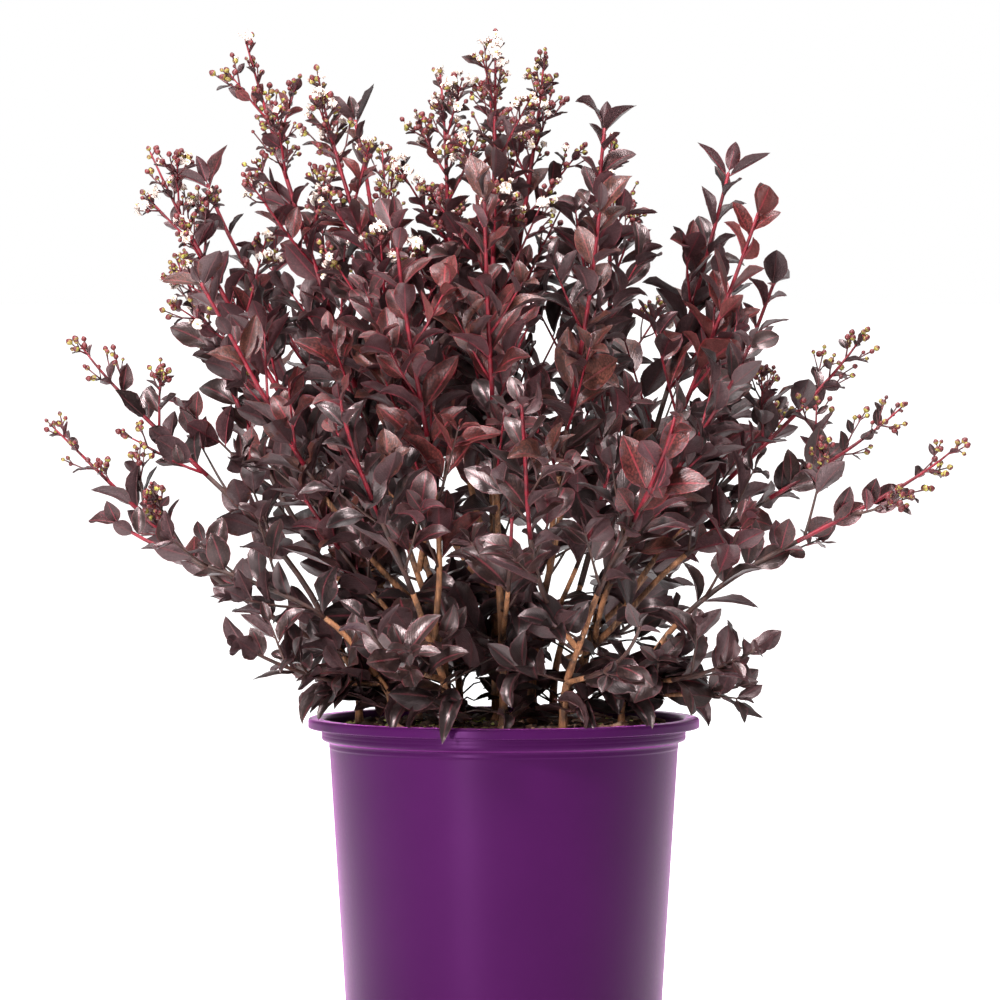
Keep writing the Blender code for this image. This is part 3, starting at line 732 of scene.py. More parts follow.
mix = {
    "top": 0.236,
    "levelRadius": 0.116,
    "edgeRadius": 0.1284,
    "edgeDrop": 0.0045,
    "bottom": 0.0031,
    "bottomRadius": 0.1088,
    "lump": 0.0022,
    "grit": 0.0009,
    "rings": 50,
    "segments": 150,
    "seed": 5,
    "settled": 0.0012,  # how far the bed's mean level lies below its top
    "shoulder": (0.005, 0.222),  # how far in from the edge the bed's wall turns down, and its height there
    "oneSided": 0.75,  # share of the chips of one side that are moved to it
    "lumpScale": 42,
    "gritScale": 260,
    "lift": 0.05,  # how far a chip's middle stands over the bed, as a share of its length
    "chipInset": 0.004,
    "chipTilt": (0.35, 0.3),
    "chipWidth": (0.2, 0.45),
    "chipThickness": (0.08, 0.2),
    "chipCorners": (0.6, 1.1),
    # amount, scale, fleck, grain, smooth, rough, bump, distance, specular
    "bedFinish": (0.9, 160.0, 1.1, 700.0, 0.8, 1.0, 0.9, 0.0012, 0.2),
    "chipFinish": (0.8, 300.0, 0.7, 900.0, 0.7, 0.95, 0.5, 0.0006, 0.25),
    "bed": ((94, 70, 56), (58, 43, 35)),
    # tint: how many, shortest and longest in metres, colour, blotch, side that has most of them (-1 left, 1 right)
    "chips": {
        "darkBark": (640, 0.003, 0.013, (90, 65, 53), (56, 41, 33), 0),
        "brownBark": (300, 0.003, 0.011, (142, 100, 79), (88, 62, 51), 0),
        "tanBark": (150, 0.003, 0.013, (232, 186, 156), (186, 134, 108), 1),
        "strawBits": (460, 0.002, 0.007, (204, 200, 120), (146, 146, 70), -1),
        "paleGrit": (60, 0.0015, 0.004, (214, 206, 192), (180, 170, 156), 0),
    },
}


def mixHeight(x, y):
    far = math.hypot(x, y)
    level = mix["top"] - mix["settled"]
    if far > mix["levelRadius"]:
        level -= mix["edgeDrop"] * (far - mix["levelRadius"]) / (mix["edgeRadius"] - mix["levelRadius"])
    broad = noise.noise(Vector((x * mix["lumpScale"], y * mix["lumpScale"], 3.1)))
    fine = noise.noise(Vector((x * mix["gritScale"], y * mix["gritScale"], 8.7)))
    return level + mix["lump"] * broad + mix["grit"] * fine


def makeMix():
    points, sides = [(0, 0, mixHeight(0, 0))], mix["segments"]
    for ring in range(1, mix["rings"] + 1):
        far = mix["edgeRadius"] * ring / mix["rings"]
        for s in range(sides):
            x, y, _ = onCircle(far, math.tau * s / sides)
            points.append((x, y, mixHeight(x, y)))
    turnIn, turnHeight = mix["shoulder"]
    for far, z in ((mix["edgeRadius"] - turnIn, turnHeight), (mix["bottomRadius"], mix["bottom"])):
        points += [onCircle(far, math.tau * s / sides, z) for s in range(sides)]
    points.append((0, 0, mix["bottom"]))
    rings = mix["rings"] + 2
    walls = ringFaces(rings, sides)[:, ::-1] + 1
    first = fanFaces(np.arange(1, sides + 1), 0)
    last = fanFaces(np.arange(1 + (rings - 1) * sides, 1 + rings * sides), len(points) - 1, flip=True)
    bins["mixBed"].add(points, np.concatenate([walls, first, last]))
    material = finishMaterial("pottingMix", *mix["bed"], *mix["bedFinish"])
    makePiece("pottingMixBed", "mixBed", material, ["potting_mix"])


def addChip(binName, place, size, rng):
    # a flat splinter of bark: a slab with eight uneven corners
    turn = Matrix.Rotation(rng.uniform(0, math.tau), 3, "Z")
    roll, pitch = mix["chipTilt"]
    tilt = Matrix.Rotation(rng.gauss(0, roll), 3, "X") @ Matrix.Rotation(rng.gauss(0, pitch), 3, "Y")
    long, wide, thick = size / 2, size * rng.uniform(*mix["chipWidth"]), size * rng.uniform(*mix["chipThickness"])
    corners = []
    for z in (-1, 1):
        for x, y in ((-1, -1), (1, -1), (1, 1), (-1, 1)):
            corner = Vector((x * long, y * wide, z * thick))
            corner = Vector([c * rng.uniform(*mix["chipCorners"]) for c in corner])
            corners.append(tuple(place + turn @ (tilt @ corner)))
    faces = [(0, 3, 2, 1), (4, 5, 6, 7), (0, 1, 5, 4), (1, 2, 6, 5), (2, 3, 7, 6), (3, 0, 4, 7)]
    bins[binName].add(corners, faces)


def makeChips():
    rng = random.Random(mix["seed"])
    for tint, (count, short, long, colour, blotch, side) in mix["chips"].items():
        for _ in range(count):
            far = (mix["edgeRadius"] - mix["chipInset"]) * math.sqrt(rng.random())
            x, y, _ = onCircle(far, rng.uniform(0, math.tau))
            if side and rng.random() < mix["oneSided"]:
                x = abs(x) * side
            size = short + (long - short) * rng.random() ** 2
            addChip(tint, Vector((x, y, mixHeight(x, y) + size * mix["lift"])), size, rng)
        material = finishMaterial(tint, colour, blotch, *mix["chipFinish"])
        makePiece(tint + "Chips", tint, material, smooth=False)


makeMix()
makeChips()
print("potting mix ready")


# Stems: tan bark with lengthwise relief, in the source's places

stemRule = {
    "taper": 0.72,
    "flare": 1.25,
    "flareHeight": 0.010,
    "flareFade": 0.012,
    "buttress": 0.12,
    "leanIn": 0.3,  # how much less than its own slope a stem leans where it passes into its foliage
    "reach": 0.4,
    "rings": 64,
    "sides": 18,
    "seat": 0.0003,
    "ridges": 0.11,
    "swell": 0.07,
    "scars": 0.30,
    "scarsFrom": 0.25,
}

# each stem: where it leaves the mix (x, y), where it passes into its foliage, and its radius
stems = {
    "centre": ((0.000, -0.045), (-0.005, -0.038, 0.372), 0.0032),
    "left_inner": ((-0.040, 0.004), (-0.068, 0.006, 0.362), 0.0029),
    "left_outer": ((-0.104, 0.018), (-0.130, 0.022, 0.312), 0.0026),
    "left_low": ((-0.080, -0.028), (-0.102, -0.042, 0.288), 0.0025),
    "left_back": ((-0.062, 0.048), (-0.098, 0.062, 0.350), 0.0029),
    "back_left": ((-0.032, 0.088), (-0.052, 0.116, 0.330), 0.0028),
    "back_right": ((0.036, 0.088), (0.056, 0.118, 0.330), 0.0028),
    "back_inner": ((-0.006, 0.040), (-0.008, 0.046, 0.372), 0.0029),
    "right_inner": ((0.020, 0.002), (0.038, 0.004, 0.372), 0.0030),
    "right_back": ((0.056, 0.046), (0.080, 0.058, 0.350), 0.0029),
    "right_outer": ((0.044, -0.016), (0.097, -0.010, 0.326), 0.0030),
    "right_low": ((0.084, -0.034), (0.106, -0.044, 0.288), 0.0025),
    "front_left": ((-0.040, -0.080), (-0.056, -0.106, 0.312), 0.0028),
    "front_right": ((0.042, -0.080), (0.058, -0.106, 0.312), 0.0028),
}
stemPaths = {}


def barkRelief(place, turn, seed):
    # lengthwise ridges, a slow swelling and small scars
    x, y = math.cos(turn), math.sin(turn)
    ridges = noise.noise(Vector((x * 2.6, y * 2.6 + seed, place * 26)))
    swell = noise.noise(Vector((seed, 4.2, place * 30)))
    scars = max(0.0, noise.noise(Vector((x * 1.2 + seed, y * 1.2, place * 110))) - stemRule["scarsFrom"])
    return 1 + stemRule["ridges"] * ridges + stemRule["swell"] * swell + stemRule["scars"] * scars


def growStem(name, index):
    (footX, footY), top, radius = stems[name]
    foot, top = Vector((footX, footY, mix["top"] + stemRule["seat"])), Vector(top)
    lean = (top - foot - up * (stemRule["leanIn"] * (top.z - foot.z))).normalized()
    base = foot + up * stemRule["flareHeight"]
    path = LimbPath(base, up, top, lean, 24, stemRule["reach"])
    stemPaths[name] = path
    points = [foot + up * (stemRule["flareHeight"] * k / 6) for k in range(6)]
    points += [path.at(k / stemRule["rings"])[0] for k in range(stemRule["rings"] + 1)]

    def radiusAt(k, turn):
        point = points[k]
        rise = point.z - foot.z
        share = clamped((point.z - base.z) / (top.z - base.z))
        plain = radius * (1 - (1 - stemRule["taper"]) * share)
        flare = max(0.0, 1 - rise / stemRule["flareFade"]) ** 2
        buttress = 1 + stemRule["buttress"] * flare * math.cos(3 * turn + index)
        return plain * (1 + (stemRule["flare"] - 1) * flare) * barkRelief(point.z, turn, index * 7.3) * buttress

    addTube("bark", points, None, stemRule["sides"], radiusAt)


for index, name in enumerate(stems):
    growStem(name, index)


bark = {
    "base": (146, 96, 65),
    "patch": (64, 43, 34),
    "streak": (182, 131, 93),
    "drawnOut": (1, 1, 0.16),
    "streaks": 620,
    "streakGain": 3.0,
    "mottle": {"Amount": 1.0, "Scale": 95.0, "Fleck": 1.2},
    "rough": 0.72,
    "specular": 0.35,
    "relief": (0.5, 0.0008),
}


def barkMaterial(name):
    # smooth tan bark with dark flakes, drawn out along the stem
    material, tree, shader = newMaterial(name)
    place = tree.nodes.new("ShaderNodeTexCoord").outputs["Object"]
    stretch = tree.nodes.new("ShaderNodeMapping")
    stretch.inputs["Scale"].default_value = bark["drawnOut"]
    tree.links.new(place, stretch.inputs["Vector"])
    streaks = tree.nodes.new("ShaderNodeTexNoise")
    streaks.inputs["Scale"].default_value = bark["streaks"]
    streaks.inputs["Detail"].default_value = 4
    tree.links.new(stretch.outputs["Vector"], streaks.inputs["Vector"])
    tint = useGroup(tree, "mottle", Base=linear(bark["base"]), Blotch=linear(bark["patch"]), **bark["mottle"])
    share = steepened(tree, streaks.outputs["Fac"], 0.5, bark["streakGain"])
    tree.links.new(mixColour(tree, share, tint.outputs["Color"], linear(bark["streak"])), shader.inputs["Base Color"])
    shader.inputs["Roughness"].default_value = bark["rough"]
    shader.inputs["Specular IOR Level"].default_value = bark["specular"]
    addBump(tree, shader, streaks.outputs["Fac"], *bark["relief"])
    return material


print("stems ready")


# Shoots: the foliage grows on from the stems by the source's rule, carried to finer twigs

growth = {
    "seed": 11,
    "reach": 0.33,
    "stub": 0.003,
    "endLeaf": 0.42,  # how far short of a leafy shoot's tip its axis ends, as a share of its leaves' length
    "budReach": 0.0065,
    "axisRadius": 0.0023,
    "axisTaper": 0.55,
    "climb": 0.75,  # how much the shoots that lean to the front or back turn up at their ends
    "forwardFrom": 0.12,
    "pairGap": 0.0184,
    "wingGap": 0.45,  # how much further apart the pairs stand on level shoots at the sides,
    "frontGap": 0.40,  # on shoots that lean to the front or back,
    "lowGap": 0.45,  # and near the mix
    "ownSpace": 0.62,
    "ownCore": 0.03,  # a shoot's own space round its axis
    "clearance": 0.0053,
    "past": 0.012,  # how far a leaf's straight line may pass the source's box
    "sideInside": 0.02,  # how far inside it a side twig ends
    "viewMargin": 0.07,  # as a share of a leaf's length
    "stemMargin": 0.006,
    "barkTop": 0.405,  # height where young wood takes over from bark
    "barkWithin": 0.13,
    "redFrom": 0.46,
    "redTipFrom": 0.36,
    "redHalf": 0.45,  # share of a shoot's length where its red half starts
    # where the crown's wings start (distance, run), where it is low (height, run), how far its inside reaches
    "wings": (0.11, 0.08),
    "low": (0.25, 0.16),
    "inside": 0.17,
}

# side twigs: angle, lengths and radius, and the share of the shoot that carries them
sideTwigs = {
    "angle": math.radians(47),
    "longest": 0.115,
    "longestShare": 0.36,
    "shortest": 0.034,
    "radius": 0.00115,
    "turn": 2.4,
    "nudge": 0.9,
    "attempts": 7,
    "lift": 0.38,
    "tipLift": 0.16,
    "first": 0.13,
    "leafySpan": 0.60,
    "crownedSpan": 0.75,
    "crownedFrom": 0.07,  # a longer panicle than this makes a shoot a flowering crown with more side twigs
    "crownedMore": 6,
    "flowersFrom": (0.43, 0.45),  # on flowering crowns, on other shoots
    "leaves": (0.16, 0.94),
    "leavesUnderFlowers": (0.08, 0.55),
    "tipLeaf": (0.42, 0.62),
    "slack": (0.2, 0.8),
    "wobble": (-0.15, 0.2),
    "lengths": (0.68, 1.0),
    "highLoss": 0.55,  # how much shorter they are up the shoot
    "attemptLoss": 0.06,
    "endLoss": 0.9,
    "steps": 6,
}

# how the leaves stand on a twig and how each one is shaped
habit = {
    "scale": 1.12,
    "angle": math.radians(60),
    "pairTurn": math.radians(90),
    "twoRanks": 0.8,  # how far the leaves of a level shoot are drawn to its left and right
    "wingRanks": 0.65,
    "lift": 0.34,
    "sizes": (0.72, 1.2),
    "lowGrowth": 0.46,  # larger low inside the crown, smaller on level shoots and at the top
    "wingShrink": 0.26,
    "topShrink": 0.22,
    "tipFace": 0.6,  # what a blade faces: its shoot's tip, the sky and outwards, and how much it wavers
    "lightUp": 0.78,
    "lightOut": 0.40,
    "waver": 0.36,
    "onEdge": 0.25,  # blades on the wings that rise more steeply than this stand on edge,
    "edgeOut": 0.8,  # this share of them turned outwards,
    "edgePull": (0.9, 1.5),  # and so far from their usual way to that one
    "middle": 0.55,  # where a blade needs room, as a share of its length
    "youngShare": 0.75,
    "oldLoss": 0.5,  # and how much less of it among the old leaves
    "wingFold": 0.4,  # how much flatter and straighter the blades are on the wings
    "wingDroop": 0.5,
    "pairStep": 0.0035,  # how far the second blade of a pair stands over the first
    "pairSlack": (0.3, 0.7),
    "tries": (0.0, 0.7, -0.7),  # turns round the twig in which a blade looks for room
    "wobble": 0.3,
    "angleLoss": 0.2,  # how much closer to the twig the blades stand at its end
    "angleWobble": 0.24,
    "lifts": (0.3, 1.2),
    "wingLift": 0.5,
    "widths": (0.46, 0.57),
    "wingWidth": 0.05,
    "folds": (0.3, 1.0),
    "oldFold": -0.6,  # the sides of many an old blade turn down
    "oldFoldShare": 0.45,
    "youngDroop": (-0.15, 0.85),
    "oldDroop": (0.8, 1.5),
    "twist": 0.5,
    "waves": (0.04, 0.24),
}

# each shoot: stem, how far up the stem it starts, its tip, blade length, sprays on its sides, panicle length,
# and the share of its bud clusters that are in flower
shoots = {
    "top_centre": ("centre", 1.00, (-0.006, -0.022, 0.733), 0.036, 7, 0.085, 0.10),
    "top_left_of_centre": ("back_inner", 0.86, (-0.046, 0.012, 0.708), 0.036, 6, 0.080, 0.16),
    "front_upper": ("centre", 0.80, (-0.014, -0.166, 0.630), 0.037, 4, 0.0, 0.0),
    "front_low_centre": ("centre", 0.42, (0.006, -0.200, 0.410), 0.040, 1, 0.0, 0.0),
    "top_left_tall": ("left_inner", 1.00, (-0.187, 0.018, 0.733), 0.036, 6, 0.105, 0.05),
    "top_left_second": ("left_inner", 0.86, (-0.133, -0.036, 0.706), 0.036, 6, 0.095, 0.13),
    "left_shoulder_front": ("left_inner", 0.60, (-0.223, -0.064, 0.568), 0.037, 3, 0.0, 0.0),
    "left_inner_low": ("left_inner", 0.34, (-0.156, -0.044, 0.420), 0.043, 3, 0.0, 0.0),
    "left_high_spray": ("left_outer", 1.00, (-0.308, 0.030, 0.512), 0.035, 3, 0.052, 0.00),
    "left_wide_spray": ("left_outer", 0.66, (-0.328, -0.020, 0.456), 0.036, 3, 0.062, 0.00),
    "left_low_spray": ("left_low", 1.00, (-0.290, -0.052, 0.394), 0.035, 3, 0.0, 0.0),
    "left_lowest": ("left_low", 0.50, (-0.198, -0.106, 0.306), 0.038, 3, 0.0, 0.0),
    "left_upper_spray": ("left_back", 1.00, (-0.258, 0.062, 0.652), 0.036, 7, 0.085, 0.14),
    "left_back_upper": ("left_back", 0.84, (-0.222, 0.134, 0.640), 0.037, 4, 0.0, 0.0),
    "left_shoulder": ("left_back", 0.55, (-0.240, 0.104, 0.572), 0.037, 4, 0.050, 0.16),
    "back_upper_left": ("back_left", 1.00, (-0.090, 0.180, 0.656), 0.037, 5, 0.070, 0.08),
    "back_mid_left": ("back_left", 0.80, (-0.172, 0.232, 0.506), 0.038, 5, 0.0, 0.0),
    "back_low_left": ("back_left", 0.40, (-0.124, 0.250, 0.350), 0.042, 5, 0.0, 0.0),
    "back_upper_right": ("back_right", 1.00, (0.080, 0.184, 0.660), 0.037, 5, 0.070, 0.05),
    "back_mid_right": ("back_right", 0.80, (0.186, 0.228, 0.500), 0.038, 5, 0.0, 0.0),
    "back_middle": ("back_right", 0.62, (0.016, 0.276, 0.500), 0.038, 5, 0.0, 0.0),
    "back_low_right": ("back_right", 0.34, (0.130, 0.246, 0.345), 0.042, 5, 0.0, 0.0),
    "top_right_of_centre": ("back_inner", 1.00, (0.030, 0.040, 0.723), 0.036, 6, 0.085, 0.08),
    "top_left_leafy": ("back_inner", 0.66, (-0.112, 0.074, 0.688), 0.040, 4, 0.0, 0.0),
    "back_inner_low": ("back_inner", 0.34, (-0.004, 0.176, 0.440), 0.042, 4, 0.0, 0.0),
    "top_right_leafy": ("right_inner", 1.00, (0.074, -0.004, 0.682), 0.040, 6, 0.0, 0.05),
    "front_upper_right": ("right_inner", 0.80, (0.068, -0.148, 0.620), 0.038, 4, 0.0, 0.0),
    "right_inner_low": ("right_inner", 0.36, (0.080, -0.092, 0.440), 0.044, 1, 0.0, 0.0),
    "right_upper_spray": ("right_back", 1.00, (0.167, 0.060, 0.650), 0.040, 4, 0.0, 0.0),
    "right_upper_front": ("right_back", 0.84, (0.188, -0.004, 0.620), 0.040, 4, 0.0, 0.0),
    "right_shoulder": ("right_back", 0.55, (0.204, 0.124, 0.568), 0.038, 3, 0.0, 0.0),
    "right_wide_spray": ("right_outer", 1.00, (0.291, 0.014, 0.468), 0.036, 3, 0.058, 0.00),
    "right_high_spray": ("right_outer", 0.82, (0.264, 0.072, 0.519), 0.036, 3, 0.056, 0.00),
    "right_middle": ("right_outer", 0.56, (0.180, -0.092, 0.526), 0.038, 3, 0.0, 0.0),
    "right_low_spray": ("right_low", 1.00, (0.329, -0.026, 0.441), 0.036, 3, 0.062, 0.00),
    "right_lowest": ("right_low", 0.52, (0.190, -0.126, 0.306), 0.038, 3, 0.0, 0.0),
    "right_hem": ("right_low", 0.28, (0.182, -0.046, 0.270), 0.034, 2, 0.0, 0.0),
    "front_mid_left": ("front_left", 1.00, (-0.116, -0.238, 0.490), 0.038, 4, 0.0, 0.0),
    "front_upper_left": ("front_left", 0.80, (-0.076, -0.160, 0.610), 0.037, 4, 0.0, 0.0),
    "front_low_left": ("front_left", 0.40, (-0.100, -0.238, 0.336), 0.037, 1, 0.0, 0.0),
    "front_mid_right": ("front_right", 1.00, (0.122, -0.232, 0.480), 0.038, 4, 0.0, 0.0),
    "front_middle": ("front_right", 0.76, (0.010, -0.256, 0.490), 0.038, 4, 0.0, 0.0),
    "front_low_right": ("front_right", 0.36, (0.098, -0.238, 0.330), 0.037, 1, 0.0, 0.0),
}

# gaps where the sky shows through, seen from the front: x, height, half width, half height
openings = (
    (0.030, 0.512, 0.010, 0.016), (0.099, 0.510, 0.011, 0.013), (0.016, 0.567, 0.009, 0.016),
    (0.126, 0.560, 0.009, 0.014), (-0.085, 0.614, 0.014, 0.020), (0.050, 0.340, 0.025, 0.017),
    (0.047, 0.288, 0.018, 0.016), (0.092, 0.296, 0.014, 0.015), (0.012, 0.372, 0.013, 0.009),
    (0.037, 0.258, 0.013, 0.008), (-0.027, 0.264, 0.012, 0.012), (0.133, 0.474, 0.013, 0.009),
    (-0.173, 0.482, 0.013, 0.008), (-0.208, 0.420, 0.008, 0.012), (-0.225, 0.380, 0.016, 0.008),
    (0.214, 0.386, 0.010, 0.008), (0.178, 0.420, 0.006, 0.014), (-0.263, 0.439, 0.010, 0.007),
    (-0.040, 0.415, 0.008, 0.008), (0.112, 0.462, 0.008, 0.009), (-0.064, 0.340, 0.008, 0.012),
)

# heights between which the front leaves a stem bare
shownStems = {"centre": (0.246, 0.338), "right_outer": (0.282, 0.322)}

leaves = defaultdict(list)  # by tint: root, heading, facing, length, width, fold, curl, twist, wave
taken = defaultdict(list)  # middles of the leaves so far, by cell


class Shoot:
    # one foliage mass: its axis and the values that its leaves, twigs and flowers share
    def __init__(self, name, index):
        self.stem, along, tip, blade, self.sprays, self.panicle, self.flowering = shoots[name]
        self.tip = Vector(tip)
        self.rng = random.Random(growth["seed"] + 100 * index)
        self.start, tangent = stemPaths[self.stem].at(along)
        span = (self.tip - self.start).normalized()
        if along >= 1.0:
            heading = leaving = tangent
        else:
            out = self.tip - self.start
            heading = (out - tangent * out.dot(tangent)).normalized()
            leaving = (heading * 0.8 + span + up * 0.25).normalized()
        self.forward = 1 - abs(self.tip.x) / farOut(self.tip)
        self.forward *= min(1.0, abs(self.tip.y) / growth["forwardFrom"])
        self.gap = growth["pairGap"] * (1 + growth["frontGap"] * self.forward)
        self.blade = blade * habit["scale"]
        arrival = (span + up * (0.16 + growth["climb"] * self.forward)).normalized()
        end = growth["budReach"] if self.panicle else self.blade * growth["endLeaf"]
        foot = self.start + heading * growth["stub"]
        self.axis = LimbPath(foot, leaving, self.tip - arrival * end, arrival, 16, growth["reach"])
        self.base = growth["axisRadius"] * (0.8 + 0.7 * min(0.4, self.axis.length))
        self.thinFrom = 1 - self.panicle / self.axis.length

    def radiusAt(self, share):
        # an even taper, then a quicker one through the panicle
        thinner = 0.5 * max(0.0, share - self.thinFrom) / (1.001 - self.thinFrom)
        return self.base * (1 - (1 - growth["axisTaper"]) * share) * (1 - thinner)


def nearOwn(shoot, point):
    own = shoot.axis.gapTo(point)
    if own < growth["ownCore"]:
        return True
    return all(other is shoot or other.axis.gapTo(point) > own * growth["ownSpace"] for other in grown)


def cellOf(point):
    size = growth["clearance"]
    return int(point.x // size), int(point.y // size), int(point.z // size)


def isFree(point):
    # no other leaf's middle lies this near
    cx, cy, cz = cellOf(point)
    for x in (cx - 1, cx, cx + 1):
        for y in (cy - 1, cy, cy + 1):
            for z in (cz - 1, cz, cz + 1):
                for other in taken.get((x, y, z), ()):
                    if (other - point).length < growth["clearance"]:
                        return False
    return True


potSpace = {"rimTop": 0.243, "rimReach": 0.147, "mixTop": 0.236}


def insidePot(point):
    return point.z < potSpace["rimTop"] and farOut(point) < potSpace["rimReach"] or point.z < potSpace["mixTop"]


def fromFront(point):
    # where the camera sees a point on the plane through the pot's axis
    near = studio["distance"] / (studio["distance"] + point.y)
    return point.x * near, studio["cameraHeight"] + (point.z - studio["cameraHeight"]) * near


def inOpening(point, spare):
    x, z = fromFront(point)
    return any(((x - ox) / (w + spare)) ** 2 + ((z - oz) / (h + spare)) ** 2 < 1 for ox, oz, w, h in openings)


def hidesStem(point, spare):
    x, z = fromFront(point)
    for name, (low, high) in shownStems.items():
        for spot in stemPaths[name].points:
            near = math.hypot(x - spot.x, z - spot.z) < growth["stemMargin"] + spare
            if near and low < spot.z < high and point.y < spot.y:
                return True
    return False


def blocksView(root, heading, length):
    spots = [root + heading * (length * share) for share in (0.3, 0.6, 0.9)]
    spare = growth["viewMargin"] * length
    return any(inOpening(spot, spare) or hidesStem(spot, spare) for spot in spots)


def levelness(tangent):
    return math.sqrt(max(0.0, 1 - tangent.z ** 2))


def wingAt(shoot, point, tangent):
    # 1 on the level shoots at the plant's sides, where the blades stand on edge; 0 inside the crown
    start, run = growth["wings"]
    return (1 - shoot.forward) * levelness(tangent) * clamped((farOut(point) - start) / run)


def lowAt(point):
    # 1 a little over the mix, 0 in the upper crown
    start, run = growth["low"]
    return max(0.0, 1 - (point.z - start) / run)


def facingOf(heading, tangent, point, rng, wing=0.0):
    # blades face their shoot's tip, up and outwards, each a little its own way
    outward = Vector((point.x, point.y, 0.02)).normalized()
    normal = tangent - heading * tangent.dot(heading)
    normal = normal.normalized() * habit["tipFace"] + up * habit["lightUp"] + outward * habit["lightOut"]
    if wing and heading.z > habit["onEdge"]:
        usual, pulled = habit["edgePull"]
        flat = tangent.cross(up).normalized()
        flat *= math.copysign(1.0, flat.dot(outward)) * (1 if rng.random() < habit["edgeOut"] else -1)
        normal = normal * (1 - usual * wing) + flat * (pulled * wing)
    normal += Vector((rng.gauss(0, 1), rng.gauss(0, 1), rng.gauss(0, 1))) * habit["waver"]
    normal -= heading * normal.dot(heading)
    if normal.length < 0.1:
        normal = heading.orthogonal()
    return normal.normalized()


def withinBox(point, past):
    return all(cadLow[i] - past < point[i] < cadHigh[i] + past for i in range(3))


def addLeaf(shoot, tint, root, heading, tangent, length, rng, old=0.0, free=False, closing=False):
    # tells whether the leaf found room; a free one may leave its shoot's space, a closing one may cross an opening
    middle = root + heading * (length * habit["middle"])
    tip = root + heading * length
    if insidePot(tip) or insidePot(middle) or not isFree(middle) or not (free or nearOwn(shoot, middle)):
        return False
    if not withinBox(tip, growth["past"]):
        return False
    if not closing and blocksView(root, heading, length):
        return False
    taken[cellOf(middle)].append(middle)
    wing = wingAt(shoot, root, tangent)
    facing = facingOf(heading, tangent, root, rng, wing)
    young = rng.random() < habit["youngShare"] - habit["oldLoss"] * old
    droop = rng.uniform(*habit["youngDroop"] if young else habit["oldDroop"])
    fold = rng.uniform(*habit["folds"]) * (1 - habit["wingFold"] * wing)
    if rng.random() < habit["oldFoldShare"] * old:
        fold *= habit["oldFold"]
    leaves[tint].append((
        root, heading, facing, length,
        length * (rng.uniform(*habit["widths"]) + habit["wingWidth"] * wing),
        fold,
        droop * (1 - habit["wingDroop"] * wing),
        rng.uniform(-habit["twist"], habit["twist"]),
        rng.uniform(*habit["waves"]),
    ))
    return True


# below paintedShadeBelow the leaves take only the darkest tints: painted shade low in the crown, besides their age
tintRule = {"bottom": 0.28, "run": 0.40, "outer": 0.26, "paintedShadeBelow": 0.36}


def sprayTint(point, rng, wing=0.0):
    # darker low inside the crown, as older leaves and as painted shade; mostly dark tints on the wings as painted
    # shade; redder at the top and the tips
    height = clamped((point.z - tintRule["bottom"]) / tintRule["run"])
    outer = min(1.0, farOut(point) / tintRule["outer"])
    if point.z < tintRule["paintedShadeBelow"]:
        return rng.choice(("umber", "shade"))
    # on the wings mostly dark tints: painted shade on leaves that the key light falls on
    if rng.random() < wing * (1 - 0.75 * height):
        return rng.choice(("plum", "umber", "shade", "shade"))
    # the dark tints weigh more lower down: older leaves and painted shade
    weights = {
        "wine": 0.08 + 0.28 * height,
        "plum": (0.10 + 0.18 * outer) * (0.3 + 0.7 * height),
        "umber": 0.40 * (1 - height) + 0.09,
        "shade": 0.38 * (1 - height) * (1 - 0.3 * outer),
        "bronze": 0.08 + 0.12 * height,
        "russet": 0.24 * height ** 3 * (0.35 + 0.65 * outer),
    }
    return rng.choices(list(weights), list(weights.values()))[0]


def leafPairs(shoot, path, first, last, gap, length, tint, tipShrink, free=False):
    # gives back how many blades found room
    rng, placed = shoot.rng, 0
    middle, run = path.at((first + last) / 2)
    wing = wingAt(shoot, middle, run)
    gap *= 1 + growth["lowGap"] * min(1.0, lowAt(middle)) * (1 - wing)
    gap *= 1 + growth["wingGap"] * wing
    count = max(1, round((last - first) * path.length / gap))
    turn = rng.uniform(0, math.tau)
    for k in range(count):
        share = first + (last - first) * (k + rng.uniform(*habit["pairSlack"])) / count
        for sign in (0, 1):
            point, tangent = path.at(share + sign * habit["pairStep"] / path.length)
            flat = levelSide(tangent)
            low, wing = lowAt(point), wingAt(shoot, point, tangent)
            inner = max(0.0, 1 - farOut(point) / growth["inside"])
            size = length * rng.uniform(*habit["sizes"])
            size = size * (1 + habit["lowGrowth"] * low * inner) * (1 - habit["wingShrink"] * wing)
            size *= 1 - habit["topShrink"] * clamped((point.z - 0.50) / 0.2)
            size *= 1 - tipShrink * max(0.0, (share - 0.6) / 0.4)
            level = habit["twoRanks"] * shoot.forward * levelness(tangent)
            around = (turn + habit["pairTurn"] * k + math.pi / 2) % math.pi - math.pi / 2
            ranked = habit["wingRanks"] * wing
            around = around * (1 - level) * (1 - ranked) + math.copysign(math.pi / 2, around) * ranked
            for nudge in habit["tries"]:
                angle = around + math.pi * sign + nudge + rng.uniform(-habit["wobble"], habit["wobble"])
                side = Matrix.Rotation(angle, 3, tangent) @ flat
                lean = habit["angle"] - habit["angleLoss"] * share
                lean += rng.uniform(-habit["angleWobble"], habit["angleWobble"])
                lift = habit["lift"] * rng.uniform(*habit["lifts"])
                lift += habit["wingLift"] * wing if side.z < 0 else 0.0
                heading = leaning(tangent, side, lean, lift)
                if addLeaf(shoot, tint, point, heading, tangent, size, rng, low, free):
                    placed += 1
                    break
    return placed


closingLeaves = {"tip": (0.4, 0.7), "pair": (0.8, 1.1), "leans": (0.65, 1.0), "back": 0.003}


